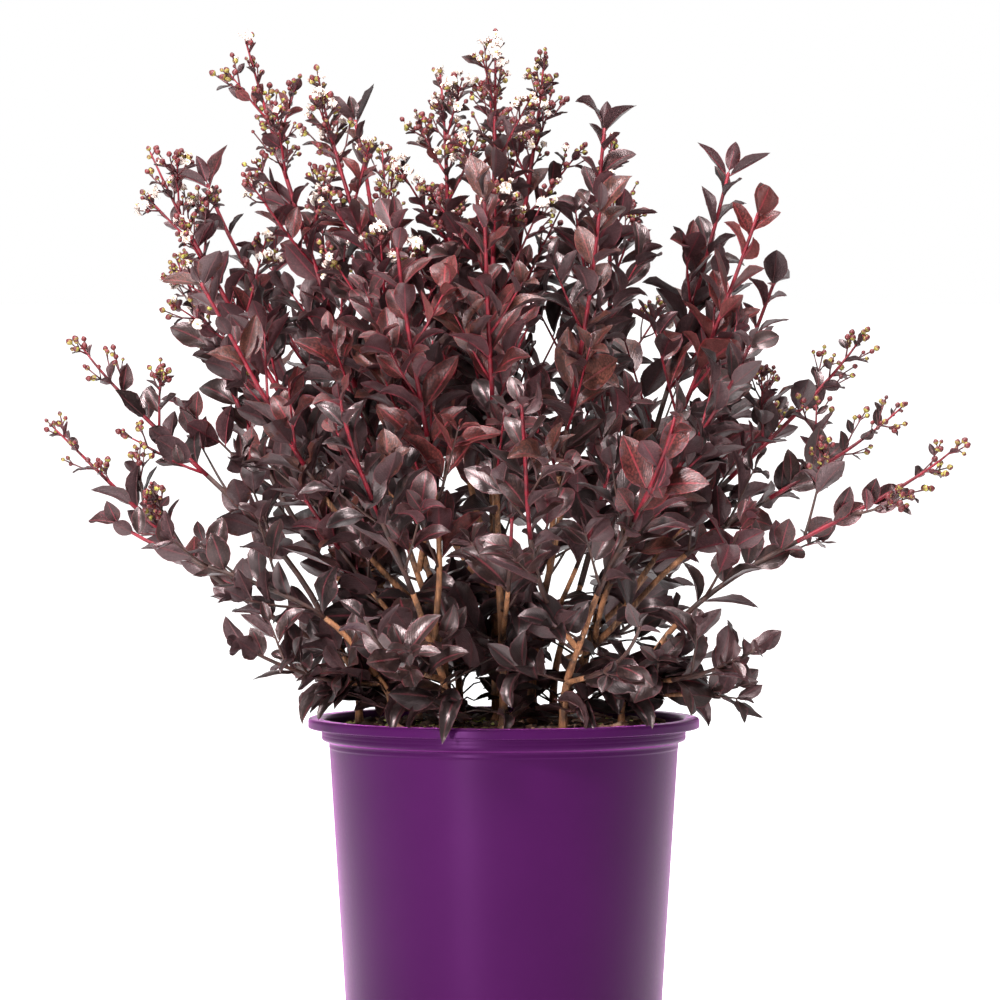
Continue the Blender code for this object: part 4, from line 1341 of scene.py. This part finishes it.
def endLeaves(shoot, path, length, tint, free=False):
    # a last spread pair and a small tip leaf that close the twig
    rng = shoot.rng
    point, tangent = path.at(1.0)
    size = length * rng.uniform(*closingLeaves["tip"])
    addLeaf(shoot, tint, point, tangent, tangent, size, rng, free=free, closing=True)
    flat = tangent.orthogonal().normalized()
    turn = rng.uniform(0, math.tau)
    for sign in (0, 1):
        side = Matrix.Rotation(turn + math.pi * sign, 3, tangent) @ flat
        heading = leaning(tangent, side, rng.uniform(*closingLeaves["leans"]))
        size, root = length * rng.uniform(*closingLeaves["pair"]), point - tangent * closingLeaves["back"]
        addLeaf(shoot, tint, root, heading, tangent, size, rng, free=free, closing=True)


def woodBin(point, share):
    outerHalf = share > growth["redHalf"]
    if point.z < growth["barkTop"] and share < growth["redHalf"] and farOut(point) < growth["barkWithin"]:
        return "bark"
    red = point.z > growth["redFrom"] or outerHalf and point.z > growth["redTipFrom"]
    return "redWood" if red else "brownWood"


def addWood(points, radii, kind=None):
    # one limb, passed from bark to brown to red wood along its length
    runs, total = [], len(points)
    for k in range(total - 1):
        here = kind or woodBin(points[k], k / total)
        if runs and runs[-1][0] == here:
            runs[-1][1].append(k + 1)
        else:
            runs.append((here, [k, k + 1]))
    for here, steps in runs:
        addTube(here, [points[k] for k in steps], [radii[k] for k in steps], 7)


bud = {
    "radius": 0.0021,
    "sizes": (0.62, 1.2),
    "stalk": 0.00045,
    "stalks": (0.0012, 0.0042),
    "spread": (0.5, 1.1),
    "ripe": 0.28,  # share of the buds that are red all over
    "ribs": 6,
    "sides": 8,
    "rings": (0.34, 0.88, 1.0, 0.82, 0.36),
    "tip": 2.12,
    "foot": 0.3,
}
flower = {
    "open": (0.0029, 0.0047),
    "opening": (0.0018, 0.0028),
    "petals": 6,
    "steps": 5,
    "rise": (0.1, 0.7),
    "crinkle": 0.36,
    "stamens": 4,
    "stamenRadii": (0.00012, 0.0003),
}


def addBud(place, heading, size, rng, ripe):
    # a ribbed globe; part of it is green on most buds, all of it red on ripe ones
    heading = heading.normalized()
    side = heading.orthogonal().normalized()
    other = heading.cross(side)
    points = []
    for k, swell in enumerate(bud["rings"]):
        along = 2 * size * (k / (len(bud["rings"]) - 1))
        for s in range(bud["sides"]):
            turn = math.tau * s / bud["sides"]
            reach = size * swell * (1 + 0.05 * math.cos(bud["ribs"] * turn))
            corner = place + heading * along + side * math.cos(turn) * reach + other * math.sin(turn) * reach
            points.append(tuple(corner))
    total = len(points)
    points += [tuple(place + heading * (bud["tip"] * size)), tuple(place - heading * (bud["foot"] * size))]
    faces = np.concatenate([
        ringFaces(len(bud["rings"]), bud["sides"]),
        fanFaces(np.arange(total - bud["sides"], total), total),
        fanFaces(np.arange(bud["sides"]), total + 1, flip=True),
    ])
    if ripe:
        bins["budRed"].add(points, faces)
        return
    centres = np.asarray(points)[faces].mean(1) - np.array(place)
    turnTo = Matrix.Rotation(rng.uniform(0, math.tau), 3, heading) @ side
    sector = centres @ np.array(turnTo) / size
    foot = centres @ np.array(heading) / size
    green = (foot < rng.uniform(0.5, 1.1)) | (sector > 0.45) & (foot < 1.5)
    bins["budGreen"].add(points, faces[green])
    bins["budRed"].add(points, faces[~green])


def addFlower(place, heading, size, rng):
    # six crinkled petals on short claws round a yellow heart
    heading = heading.normalized()
    side = heading.orthogonal().normalized()
    steps, petals = flower["steps"], flower["petals"]
    for petal in range(petals):
        out = Matrix.Rotation(math.tau * petal / petals + rng.uniform(-0.2, 0.2), 3, heading) @ side
        along = leaning(out, heading, rng.uniform(*flower["rise"]))
        across = along.cross(heading).normalized()
        facing = across.cross(along)
        points = []
        for u in range(steps):
            claw = 0.22 + 0.95 * math.sin(math.pi * min(1.0, u / (steps - 1) * 0.86)) if u else 0.12
            for v in range(steps):
                t = v / (steps - 1) * 2 - 1
                ripple = rng.gauss(0, flower["crinkle"]) if u else 0
                point = place + along * (size * (0.15 + u / (steps - 1)) * (1 - 0.12 * t * t))
                point += across * (size * 0.55 * claw * t) + facing * (size * ripple)
                points.append(tuple(point))
        faces = [(u * steps + v, u * steps + v + 1, (u + 1) * steps + v + 1, (u + 1) * steps + v)
                 for u in range(steps - 1) for v in range(steps - 1)]
        bins["petals"].add(points, faces)
    for _ in range(flower["stamens"]):
        drift = Vector((rng.gauss(0, 1), rng.gauss(0, 1), rng.gauss(0, 1))).normalized()
        tip = place + heading * size * 0.55 + drift * size * 0.28
        addTube("stamens", [place, tip], flower["stamenRadii"], 4)


def addCluster(place, heading, count, rng, flowering):
    # buds on short stalks round the end of a branchlet, some of them open or opening
    heading = heading.normalized()
    flat = heading.orthogonal().normalized()
    start = rng.uniform(0, math.tau)
    for k in range(count):
        spread = 0.0 if k == 0 else rng.uniform(*bud["spread"])
        out = Matrix.Rotation(start + 2.4 * k, 3, heading) @ flat
        way = leaning(heading, out, spread)
        stalk = rng.uniform(*bud["stalks"])
        foot = place - heading * (0.0024 * k)
        addTube("stalkWood", [foot, foot + way * stalk], [bud["stalk"] * 1.3, bud["stalk"]], 4)
        size = bud["radius"] * rng.uniform(*bud["sizes"])
        end = foot + way * stalk
        if rng.random() < flowering:
            addFlower(end + way * size, way, rng.uniform(*flower["open"]), rng)
        elif rng.random() < flowering:
            addFlower(end + way * size * 1.7, way, rng.uniform(*flower["opening"]), rng)
            addBud(end, way, size, rng, False)
        else:
            addBud(end, way, size, rng, rng.random() < bud["ripe"])


panicle = {
    "nodeGap": 0.0140,
    "skip": 0.20,  # share of the branchlets that are missing
    "shortest": 0.004,
    "longest": 0.024,
    "fork": 0.5,  # share of the longer branchlets' sides that carry a fork
    "forkFrom": 0.012,
    "leans": (0.5, 0.9),
    "bract": (0.009, 0.024),
    "smallBract": (0.007, 0.012),
    "branchletRadii": (0.00078, 0.00062, 0.0005),
    "forkRadii": (0.0005, 0.00042),
    "sideFlowering": 1.1,  # side twigs flower a little more than their shoot
    "pairStep": 0.0025,
    "slack": (0.0, 0.4),
    "wobble": 0.4,
    "reaches": (0.5, 1.3),
    "forks": (0.2, 0.4),
    "bractSizes": (0.3, 1.1),
}


def growPanicle(shoot, path, length, flowering, wide=1.0):
    # opposite branchlets, shorter towards the tip, each with its bract and its clusters of buds
    rng = shoot.rng
    nodes = max(3, round(length / panicle["nodeGap"]))
    turn = rng.uniform(0, math.tau)
    smallBract, largeBract = panicle["bract"]
    for k in range(nodes):
        share = 1 - length / path.length * (1 - (k + rng.uniform(*panicle["slack"])) / nodes)
        fade = 1 - k / nodes
        for sign in (0, 1):
            if rng.random() < panicle["skip"]:
                continue
            point, tangent = path.at(share + panicle["pairStep"] * sign / path.length)
            around = turn + habit["pairTurn"] * k + math.pi * sign + rng.uniform(-panicle["wobble"], panicle["wobble"])
            side = Matrix.Rotation(around, 3, tangent) @ levelSide(tangent)
            heading = leaning(tangent, side, rng.uniform(*panicle["leans"]))
            reach = (panicle["shortest"] + panicle["longest"] * fade) * wide * rng.uniform(*panicle["reaches"])
            bend = (heading + tangent * 0.45 + up * 0.2).normalized()
            middle = point + heading * reach * 0.5
            end = middle + bend * reach * 0.5
            addTube("stalkWood", [point, middle, end], panicle["branchletRadii"], 5)
            addCluster(end, bend, 1 + int(2.6 * rng.random() * (0.5 + 0.5 * fade) + 0.4), rng, flowering)
            if reach > panicle["forkFrom"]:
                for way in (side, -side):  # a pair of short forks half way along
                    if rng.random() < panicle["fork"]:
                        fork = (heading * 0.7 + tangent.cross(way) * 0.6 + up * 0.2).normalized()
                        forkEnd = middle + fork * reach * rng.uniform(*panicle["forks"])
                        addTube("stalkWood", [middle, forkEnd], panicle["forkRadii"], 4)
                        addCluster(forkEnd, fork, rng.choice((1, 1, 2)), rng, flowering)
                bractWay = (bend * 0.5 - tangent * 0.2 + side * 0.6).normalized()
                size = rng.uniform(*panicle["smallBract"])
                addLeaf(shoot, "shade", middle, bractWay, tangent, size, rng, free=True)
            bractWay = (tangent * 0.6 + side + up * 0.2).normalized()
            size = smallBract + (largeBract - smallBract) * fade * rng.uniform(*panicle["bractSizes"])
            addLeaf(shoot, rng.choice(("plum", "umber")), point, bractWay, tangent, size, rng, free=True)
    point, tangent = path.at(1.0)
    addCluster(point, tangent, 3, rng, flowering)


def growSprays(shoot):
    # side twigs, longest low on the shoot, turned round it by the golden angle
    rng, rule = shoot.rng, sideTwigs
    turn = rng.uniform(0, math.tau)
    crowned = shoot.panicle > rule["crownedFrom"]
    count = shoot.sprays + (rule["crownedMore"] if crowned else 1)
    reach = rule["crownedSpan"] if crowned else rule["leafySpan"]
    flowersFrom = rule["flowersFrom"][0 if crowned else 1]
    for k in range(count):
        share = rule["first"] + reach * (k + rng.uniform(*rule["slack"])) / count
        point, tangent = shoot.axis.at(share)
        flat = levelSide(tangent)
        longest = min(rule["longest"], rule["longestShare"] * shoot.axis.length) * (1 - rule["highLoss"] * share)
        for attempt in range(rule["attempts"]):
            side = Matrix.Rotation(turn + rule["turn"] * k + rule["nudge"] * attempt, 3, tangent) @ flat
            heading = leaning(tangent, side, rule["angle"] + rng.uniform(*rule["wobble"]), rule["lift"])
            length = max(rule["shortest"], longest * rng.uniform(*rule["lengths"]))
            length *= 1 - rule["attemptLoss"] * attempt
            length *= 1 - rule["endLoss"] * max(0.0, share - 0.5)
            tip = point + heading * length + up * rule["tipLift"] * length
            if insidePot(tip) or not withinBox(tip, -growth["sideInside"]) or not nearOwn(shoot, tip):
                continue
            path = LimbPath(point, heading, tip, (tip - point).normalized(), rule["steps"], 0.4)
            tint = sprayTint(tip, rng, wingAt(shoot, tip, tangent))
            if shoot.panicle and share > flowersFrom:
                size = shoot.blade * (1.05 - 0.6 * share)
                leafPairs(shoot, path, *rule["leavesUnderFlowers"], shoot.gap * 0.7, size, tint, 0.0)
                growPanicle(shoot, path, length * 0.55, shoot.flowering * panicle["sideFlowering"], 0.75)
            elif leafPairs(shoot, path, *rule["leaves"], shoot.gap * 0.94, shoot.blade * 0.94, tint, 0.35):
                endLeaves(shoot, path, shoot.blade * rng.uniform(*rule["tipLeaf"]), tint)
            else:
                break  # no room for its leaves, so no twig
            base = min(rule["radius"], shoot.radiusAt(share) * 0.8)
            kind = "redWood" if point.z > growth["barkTop"] else "brownWood"
            addWood(path.points, [base * (1 - 0.5 * j / rule["steps"]) for j in range(rule["steps"] + 1)], kind)
            break


def growShoot(shoot):
    axis, rng, steps = shoot.axis, shoot.rng, len(shoot.axis.spans)
    radii = [shoot.radiusAt(0)] + [shoot.radiusAt(k / steps) for k in range(steps + 1)]
    addWood([shoot.start] + axis.points, radii)
    first = 0.13 if axis.length > 0.2 else 0.05
    last = 0.97 - shoot.panicle / axis.length
    half = 0.5 * last
    tip, tangent = axis.at(0.9)
    leafPairs(shoot, axis, first, half, shoot.gap, shoot.blade * 1.04, sprayTint(axis.at(0.3)[0], rng), 0.0)
    leafPairs(shoot, axis, half, last, shoot.gap, shoot.blade, sprayTint(tip, rng, wingAt(shoot, tip, tangent)),
              0.2 if shoot.panicle else 0.35)
    growSprays(shoot)
    if shoot.panicle:
        growPanicle(shoot, axis, shoot.panicle, shoot.flowering)
    else:
        high = clamped((shoot.tip.z - 0.50) / 0.12)
        endLeaves(shoot, axis, shoot.blade * (0.62 + 0.24 * high), sprayTint(axis.at(1.0)[0], rng))


spurs = {
    "seed": 977,
    "first": 0.04,
    "last": 0.90,
    "perStem": 6,
    "shortest": 0.018,
    "longest": 0.050,
    "radius": 0.0011,
    "blade": 0.041,
    "gap": 0.014,
    "steps": 5,
}


def growSpurs(name, index):
    # short leafy twigs low on the stems, down to the mix, with the oldest leaves in dark tints that also paint the
    # shade there
    rng = random.Random(growth["seed"] + spurs["seed"] + index)
    path = stemPaths[name]
    owner = next(shoot for shoot in grown if shoot.stem == name)
    owner.rng = rng
    outward = Vector((path.points[0].x, path.points[0].y, 0)).normalized()
    for k in range(spurs["perStem"]):
        share = spurs["first"] + (spurs["last"] - spurs["first"]) * (k + rng.uniform(0.1, 0.9)) / spurs["perStem"]
        point, tangent = path.at(share)
        side = Matrix.Rotation(2.4 * k + rng.uniform(-0.6, 0.6), 3, "Z") @ outward
        heading = (side + up * rng.uniform(0.1, 0.7)).normalized()
        length = rng.uniform(spurs["shortest"], spurs["longest"])
        tip = point + heading * length
        twig = LimbPath(point, heading, tip, (heading - up * 0.15).normalized(), spurs["steps"], 0.4)
        # dark tints: older leaves, and painted shade low in the crown
        tint = rng.choice(("umber", "shade", "shade"))
        if leafPairs(owner, twig, 0.25, 0.95, spurs["gap"], spurs["blade"], tint, 0.2, free=True):
            addWood(twig.points, [spurs["radius"] * (1 - 0.1 * j) for j in range(spurs["steps"] + 1)], "brownWood")
            endLeaves(owner, twig, spurs["blade"] * 0.8, tint, free=True)


# old leaves that hang over the rim: azimuth from the front (left is negative), how far out and how high the root is,
# length, sideways lean, width as a share of the length
rimLeaves = {
    "leftHigh": (-31, 0.098, 0.266, 0.056, -0.45, 0.34), "leftMiddle": (-35, 0.104, 0.258, 0.046, 0.05, 0.34),
    "leftLow": (-25, 0.106, 0.254, 0.042, -0.50, 0.36), "frontDrop": (-17, 0.108, 0.262, 0.062, 0.10, 0.27),
    "frontBit": (-3, 0.090, 0.250, 0.030, 0.40, 0.46), "rightFold": (21, 0.100, 0.260, 0.050, 0.40, 0.40),
    "rightDrop": (31, 0.108, 0.255, 0.040, -0.40, 0.34), "rightFar": (49, 0.104, 0.260, 0.048, -0.15, 0.42),
    "leftSide": (-84, 0.104, 0.264, 0.056, 0.2, 0.40), "rightSide": (96, 0.106, 0.260, 0.058, 0.3, 0.40),
    "backLeft": (-141, 0.106, 0.262, 0.056, -0.2, 0.42), "back": (168, 0.106, 0.262, 0.058, 0.3, 0.38),
    "backRight": (139, 0.106, 0.260, 0.050, 0.1, 0.42),
}

skirt = {
    "seed": 31,
    "count": 96,
    "inner": 0.016,
    "outer": 0.108,
    "lowest": 0.244,
    "highest": 0.276,
    "blade": 0.034,
    "floor": 0.2405,  # lowest height that a leaf's straight line may end at
    "overRim": (0.118, 0.254),  # beyond this distance it ends no lower than this
    "sizes": (0.7, 1.25),
    "slopes": (-0.2, 0.5),
    "widths": (0.46, 0.60),
    "folds": (0.3, 0.9),
    "droops": (0.0, 0.45),
    "twist": 0.4,
    "waves": (0.02, 0.1),
}


def twigTo(root, rise):
    # a thin twig from the nearest stem
    nearest = min(stemPaths.values(), key=lambda path: path.gapTo(root))
    foot = min(nearest.points, key=lambda point: (point - root).length + abs(point.z - root.z + rise))
    addTube("brownWood", [foot, foot.lerp(root, 0.55) + up * 0.003, root], [0.0008, 0.0007, 0.0005], 5)


def hangRimLeaves():
    for azimuth, far, height, length, sway, share in rimLeaves.values():
        a = math.radians(azimuth)
        out = Vector((math.sin(a), -math.cos(a), 0))
        along = Vector((math.cos(a), math.sin(a), 0))
        root = out * far + up * height
        twigTo(root, 0.010)
        heading = (out + along * sway - up * 0.28).normalized()
        facing = up + along * sway * 1.5
        facing = (facing - heading * facing.dot(heading)).normalized()
        # dark tints only: painted shade on the leaves over the rim
        tint = "shade" if azimuth % 2 else "umber"
        leaves[tint].append((root, heading, facing, length, length * share, 0.8, 1.7, sway, 0.12))


def growSkirt():
    # old leaves low over the mix, two or three to a twig, in dark tints that are partly their age and partly painted
    # shade
    rng, (rimFrom, rimTop) = random.Random(skirt["seed"]), skirt["overRim"]
    for k in range(skirt["count"]):
        a = 2.4 * k + rng.uniform(-0.3, 0.3)
        far = skirt["inner"] + (skirt["outer"] - skirt["inner"]) * math.sqrt((k + 0.5) / skirt["count"])
        root = Vector(onCircle(far, a, rng.uniform(skirt["lowest"], skirt["highest"])))
        turn, before = rng.uniform(0, math.tau), sum(len(group) for group in leaves.values())
        for way in range(rng.choice((2, 3, 3))):
            b = turn + way * 2.1 + rng.uniform(-0.4, 0.4)
            length = skirt["blade"] * rng.uniform(*skirt["sizes"])
            heading = Vector(onCircle(1.0, b, rng.uniform(*skirt["slopes"]))).normalized()
            tip = root + heading * length
            if tip.z < skirt["floor"] or farOut(tip) > rimFrom and tip.z < rimTop:
                continue
            middle = root + heading * (length * habit["middle"])
            if not isFree(middle) or blocksView(root, heading, length):
                continue
            taken[cellOf(middle)].append(middle)
            facing = facingOf(heading, up, root, rng)
            # dark tints: older leaves, and painted shade low over the mix
            leaves[rng.choice(("shade", "shade", "umber"))].append((
                root, heading, facing, length,
                length * rng.uniform(*skirt["widths"]),
                rng.uniform(*skirt["folds"]),
                rng.uniform(*skirt["droops"]),
                rng.uniform(-skirt["twist"], skirt["twist"]),
                rng.uniform(*skirt["waves"]),
            ))
        if sum(len(group) for group in leaves.values()) > before:
            twigTo(root, 0.012)


grown = [Shoot(name, index) for index, name in enumerate(shoots)]
for shoot in grown:
    growShoot(shoot)
hangRimLeaves()
growSkirt()
for index, name in enumerate(stems):
    growSpurs(name, index)
print("shoots grown,", sum(len(group) for group in leaves.values()), "leaves")


# Leaves: two skins that meet at the margin, and a midrib that runs back into the petiole

blade = {
    "stations": (0.0, 0.06, 0.18, 0.33, 0.49, 0.65, 0.80, 0.92, 1.0),
    "columns": (-1.0, -0.55, 0.0, 0.55, 1.0),
    "rise": 0.84,  # powers of the outline: how fast it opens at the base and closes at the tip
    "fall": 0.96,
    "bendFrom": 0.22,  # how far along the curl passes through level, and its power
    "bendPower": 1.3,
    "stalk": 0.07,
    "thickness": 0.0005,
    "ribWidth": 0.00042,
}


def bladeFrames(group):
    # centre line, normal and side at every station of every leaf at once
    root, heading, facing = (np.array([tuple(leaf[k]) for leaf in group]) for k in range(3))
    length, width, fold, curl, twist, wave = (np.array([leaf[k] for leaf in group]) for k in range(3, 9))
    u = np.array(blade["stations"])
    across = np.cross(heading, facing)
    across /= np.linalg.norm(across, axis=1, keepdims=True)
    middle = (u[1:] + u[:-1]) / 2
    bend = curl[:, None] * (middle[None] ** blade["bendPower"] - blade["bendFrom"])
    step = np.diff(u)[None] * length[:, None] * (1 - blade["stalk"])
    ahead = np.concatenate([np.zeros((len(group), 1)), np.cumsum(np.cos(bend) * step, 1)], 1)
    fallen = np.concatenate([np.zeros((len(group), 1)), np.cumsum(np.sin(bend) * step, 1)], 1)
    foot = root + heading * (length * blade["stalk"])[:, None]
    line = foot[:, None] + heading[:, None] * ahead[..., None] - facing[:, None] * fallen[..., None]
    angle = curl[:, None] * (u[None] ** blade["bendPower"] - blade["bendFrom"])
    normal = facing[:, None] * np.cos(angle)[..., None] + heading[:, None] * np.sin(angle)[..., None]
    turn = (twist[:, None] * u[None])[..., None]
    side = across[:, None] * np.cos(turn) + normal * np.sin(turn)
    normal = normal * np.cos(turn) - across[:, None] * np.sin(turn)
    return line, normal, side, root, (width, fold, wave, u)


def outlineAt(u):
    # half width of an obovate blade with a short point, 1 at its widest
    rise, fall = blade["rise"], blade["fall"]
    widest = rise / (rise + fall)
    shape = (np.maximum(u, 0.004) ** rise) * (np.maximum(1 - u, 0.0006) ** fall)
    return shape / (widest ** rise * (1 - widest) ** fall)


def addLeaves(tint, group):
    # the upper skin follows fold and ripple, the under skin lies a thickness below it and meets it at the margin
    line, normal, side, root, (width, fold, wave, u) = bladeFrames(group)
    many, stations, columns = len(group), len(u), len(blade["columns"])
    v = np.array(blade["columns"])
    half = outlineAt(u)[None] * (width / 2)[:, None]
    rng = np.random.default_rng(len(group))
    phase = rng.uniform(0, math.tau, (many, 1, 1))
    ripple = wave[:, None, None] * np.sin(phase + 9.0 * u[None, :, None] + 2.2 * np.sign(v)[None, None])
    cupped = (np.abs(v) * (1 - 0.28 * np.abs(v)))[None, None] * np.sin(fold)[:, None, None]
    lift = cupped + ripple * (v ** 2)[None, None]
    reach = v[None, None] * (1 - 0.5 * (1 - np.cos(fold)))[:, None, None]
    top = (line[:, :, None]
           + side[:, :, None] * (reach * half[..., None])[..., None]
           + normal[:, :, None] * (lift * half[..., None])[..., None])
    pinch = (1 - v ** 2)[None, None] * np.sqrt(np.maximum(outlineAt(u), 0))[None, :, None] * blade["thickness"]
    under = top - normal[:, :, None] * np.broadcast_to(pinch, top.shape[:3])[..., None]
    s, c = np.meshgrid(np.arange(stations - 1), np.arange(columns - 1), indexing="ij")
    a = s * columns + c
    quads = np.stack([a, a + columns, a + columns + 1, a + 1], -1).reshape(-1, 4)
    offsets = (np.arange(many) * stations * columns)[:, None, None]
    maps = np.stack(np.meshgrid(u, (v + 1) / 2, indexing="ij"), -1).reshape(-1, 2)
    maps = np.tile(maps, (many, 1))
    bins["top" + tint].add(top, (quads[None, :, ::-1] + offsets), maps)
    bins["under" + undersideOf[tint]].add(under, (quads[None] + offsets), maps)
    addRibs(group, line, normal, side, root, u, ribOf[tint])


def addRibs(group, line, normal, side, root, u, binName):
    # a three-cornered rib under the blade, from the twig to near the tip
    many = len(group)
    picked = [0, 2, 4, 6, 7]
    u = np.concatenate([[0], u[picked]])
    centre = np.concatenate([root[:, None], line[:, picked]], 1)
    up3 = np.concatenate([normal[:, :1], normal[:, picked]], 1)
    side3 = np.concatenate([side[:, :1], side[:, picked]], 1)
    w = (blade["ribWidth"] * (1 - 0.8 * u))[None, :, None]
    corners = np.stack([
        centre + side3 * w + up3 * (w * 0.35),
        centre - side3 * w + up3 * (w * 0.35),
        centre - up3 * (w * 0.9 + blade["thickness"]),
    ], 2)
    faces = ringFaces(len(u), 3)
    offsets = (np.arange(many) * len(u) * 3)[:, None, None]
    bins[binName].add(corners, faces[None] + offsets)


# tint: upper colour, blotch, vein, midrib and edge (at the edge also a painted highlight of the margin catching
# light), roughness from and to, specular, relief
leafTints = {
    "wine": ((85, 37, 34), (55, 27, 26), (33, 17, 17), (126, 38, 46), 0.31, 0.44, 0.48, 0.24),
    "plum": ((68, 36, 35), (46, 27, 28), (27, 17, 18), (108, 36, 46), 0.30, 0.43, 0.48, 0.24),
    # umber and shade: the darkest old leaves, also laid low in the crown, on the wings and over the rim as painted
    # shade
    "umber": ((50, 32, 29), (34, 23, 22), (21, 15, 15), (98, 36, 44), 0.26, 0.38, 0.62, 0.17),
    "shade": ((36, 26, 25), (25, 19, 19), (16, 12, 13), (80, 31, 38), 0.24, 0.36, 0.66, 0.17),
    "bronze": ((84, 45, 37), (57, 33, 28), (34, 21, 18), (110, 44, 44), 0.31, 0.44, 0.48, 0.24),
    "russet": ((98, 40, 37), (70, 31, 29), (45, 21, 20), (136, 45, 50), 0.31, 0.44, 0.46, 0.25),
}
underTints = {
    "Plum": ((80, 50, 53), (58, 38, 41), (62, 40, 43), (118, 50, 60), 0.30, 0.44, 0.50, 0.16),
    "Grey": ((72, 50, 52), (52, 39, 41), (56, 41, 43), (96, 52, 56), 0.28, 0.42, 0.50, 0.16),
    "Rose": ((102, 52, 50), (76, 41, 40), (80, 43, 42), (142, 56, 62), 0.30, 0.44, 0.50, 0.16),
}
undersideOf = {"wine": "Plum", "plum": "Plum", "umber": "Grey", "shade": "Grey", "bronze": "Grey", "russet": "Rose"}
ribOf = {"wine": "ribYoung", "plum": "ribYoung", "umber": "ribOld", "shade": "ribOld", "bronze": "ribOld",
         "russet": "ribYoung"}

for tint in leafTints:
    if leaves[tint]:
        addLeaves(tint, leaves[tint])

foliageNodes = sorted(node for node in frame["nodes"] if node.startswith("foliage_"))
stemNodes = sorted(node for node in frame["nodes"] if node.startswith("stem_"))
for tint, values in leafTints.items():
    makePiece(tint + "Leaves", "top" + tint, leafMaterial(tint + "Leaf", *values), foliageNodes)
for tint, values in underTints.items():
    name = "under" + tint
    makePiece(name + "Leaves", name, leafMaterial("underside" + tint, *values), foliageNodes)

woods = {
    # bin: base, blotch, amount, scale, fleck, grain, smooth, rough, bump, distance, specular
    "redWood": ((122, 20, 36), (74, 20, 28), 0.9, 160.0, 1.2, 1400.0, 0.40, 0.58, 0.25, 0.0004, 0.32),
    "brownWood": ((66, 38, 32), (42, 27, 25), 0.9, 160.0, 1.2, 1400.0, 0.50, 0.70, 0.35, 0.0005, 0.4),
    "stalkWood": ((84, 26, 34), (56, 30, 28), 0.8, 160.0, 0.5, 1400.0, 0.42, 0.60, 0.2, 0.0003, 0.45),
    "ribYoung": ((122, 40, 52), (94, 36, 43), 0.7, 160.0, 0.4, 1400.0, 0.42, 0.60, 0.2, 0.0003, 0.45),
    "ribOld": ((82, 47, 48), (64, 40, 41), 0.7, 160.0, 0.4, 1400.0, 0.42, 0.60, 0.2, 0.0003, 0.45),
    "budRed": ((106, 36, 39), (64, 26, 28), 0.9, 420.0, 0.9, 1800.0, 0.38, 0.54, 0.2, 0.0003, 0.38),
    "budGreen": ((156, 152, 68), (110, 72, 48), 1.0, 420.0, 0.9, 1800.0, 0.40, 0.56, 0.2, 0.0003, 0.38),
    "petals": ((226, 214, 206), (206, 178, 170), 0.8, 420.0, 0.3, 1200.0, 0.60, 0.80, 0.2, 0.0004, 0.3),
    "stamens": ((226, 206, 130), (196, 166, 90), 0.6, 420.0, 0.2, 1200.0, 0.60, 0.80, 0.2, 0.0003, 0.3),
}
for binName, values in woods.items():
    makePiece(binName, binName, finishMaterial(binName + "Finish", *values), foliageNodes)
makePiece("barkStems", "bark", barkMaterial("tanBarkFinish"), stemNodes)

for name, triangles in piecesMade:
    print(f"{name}: {triangles} triangles")
print("total", sum(count for _, count in piecesMade))
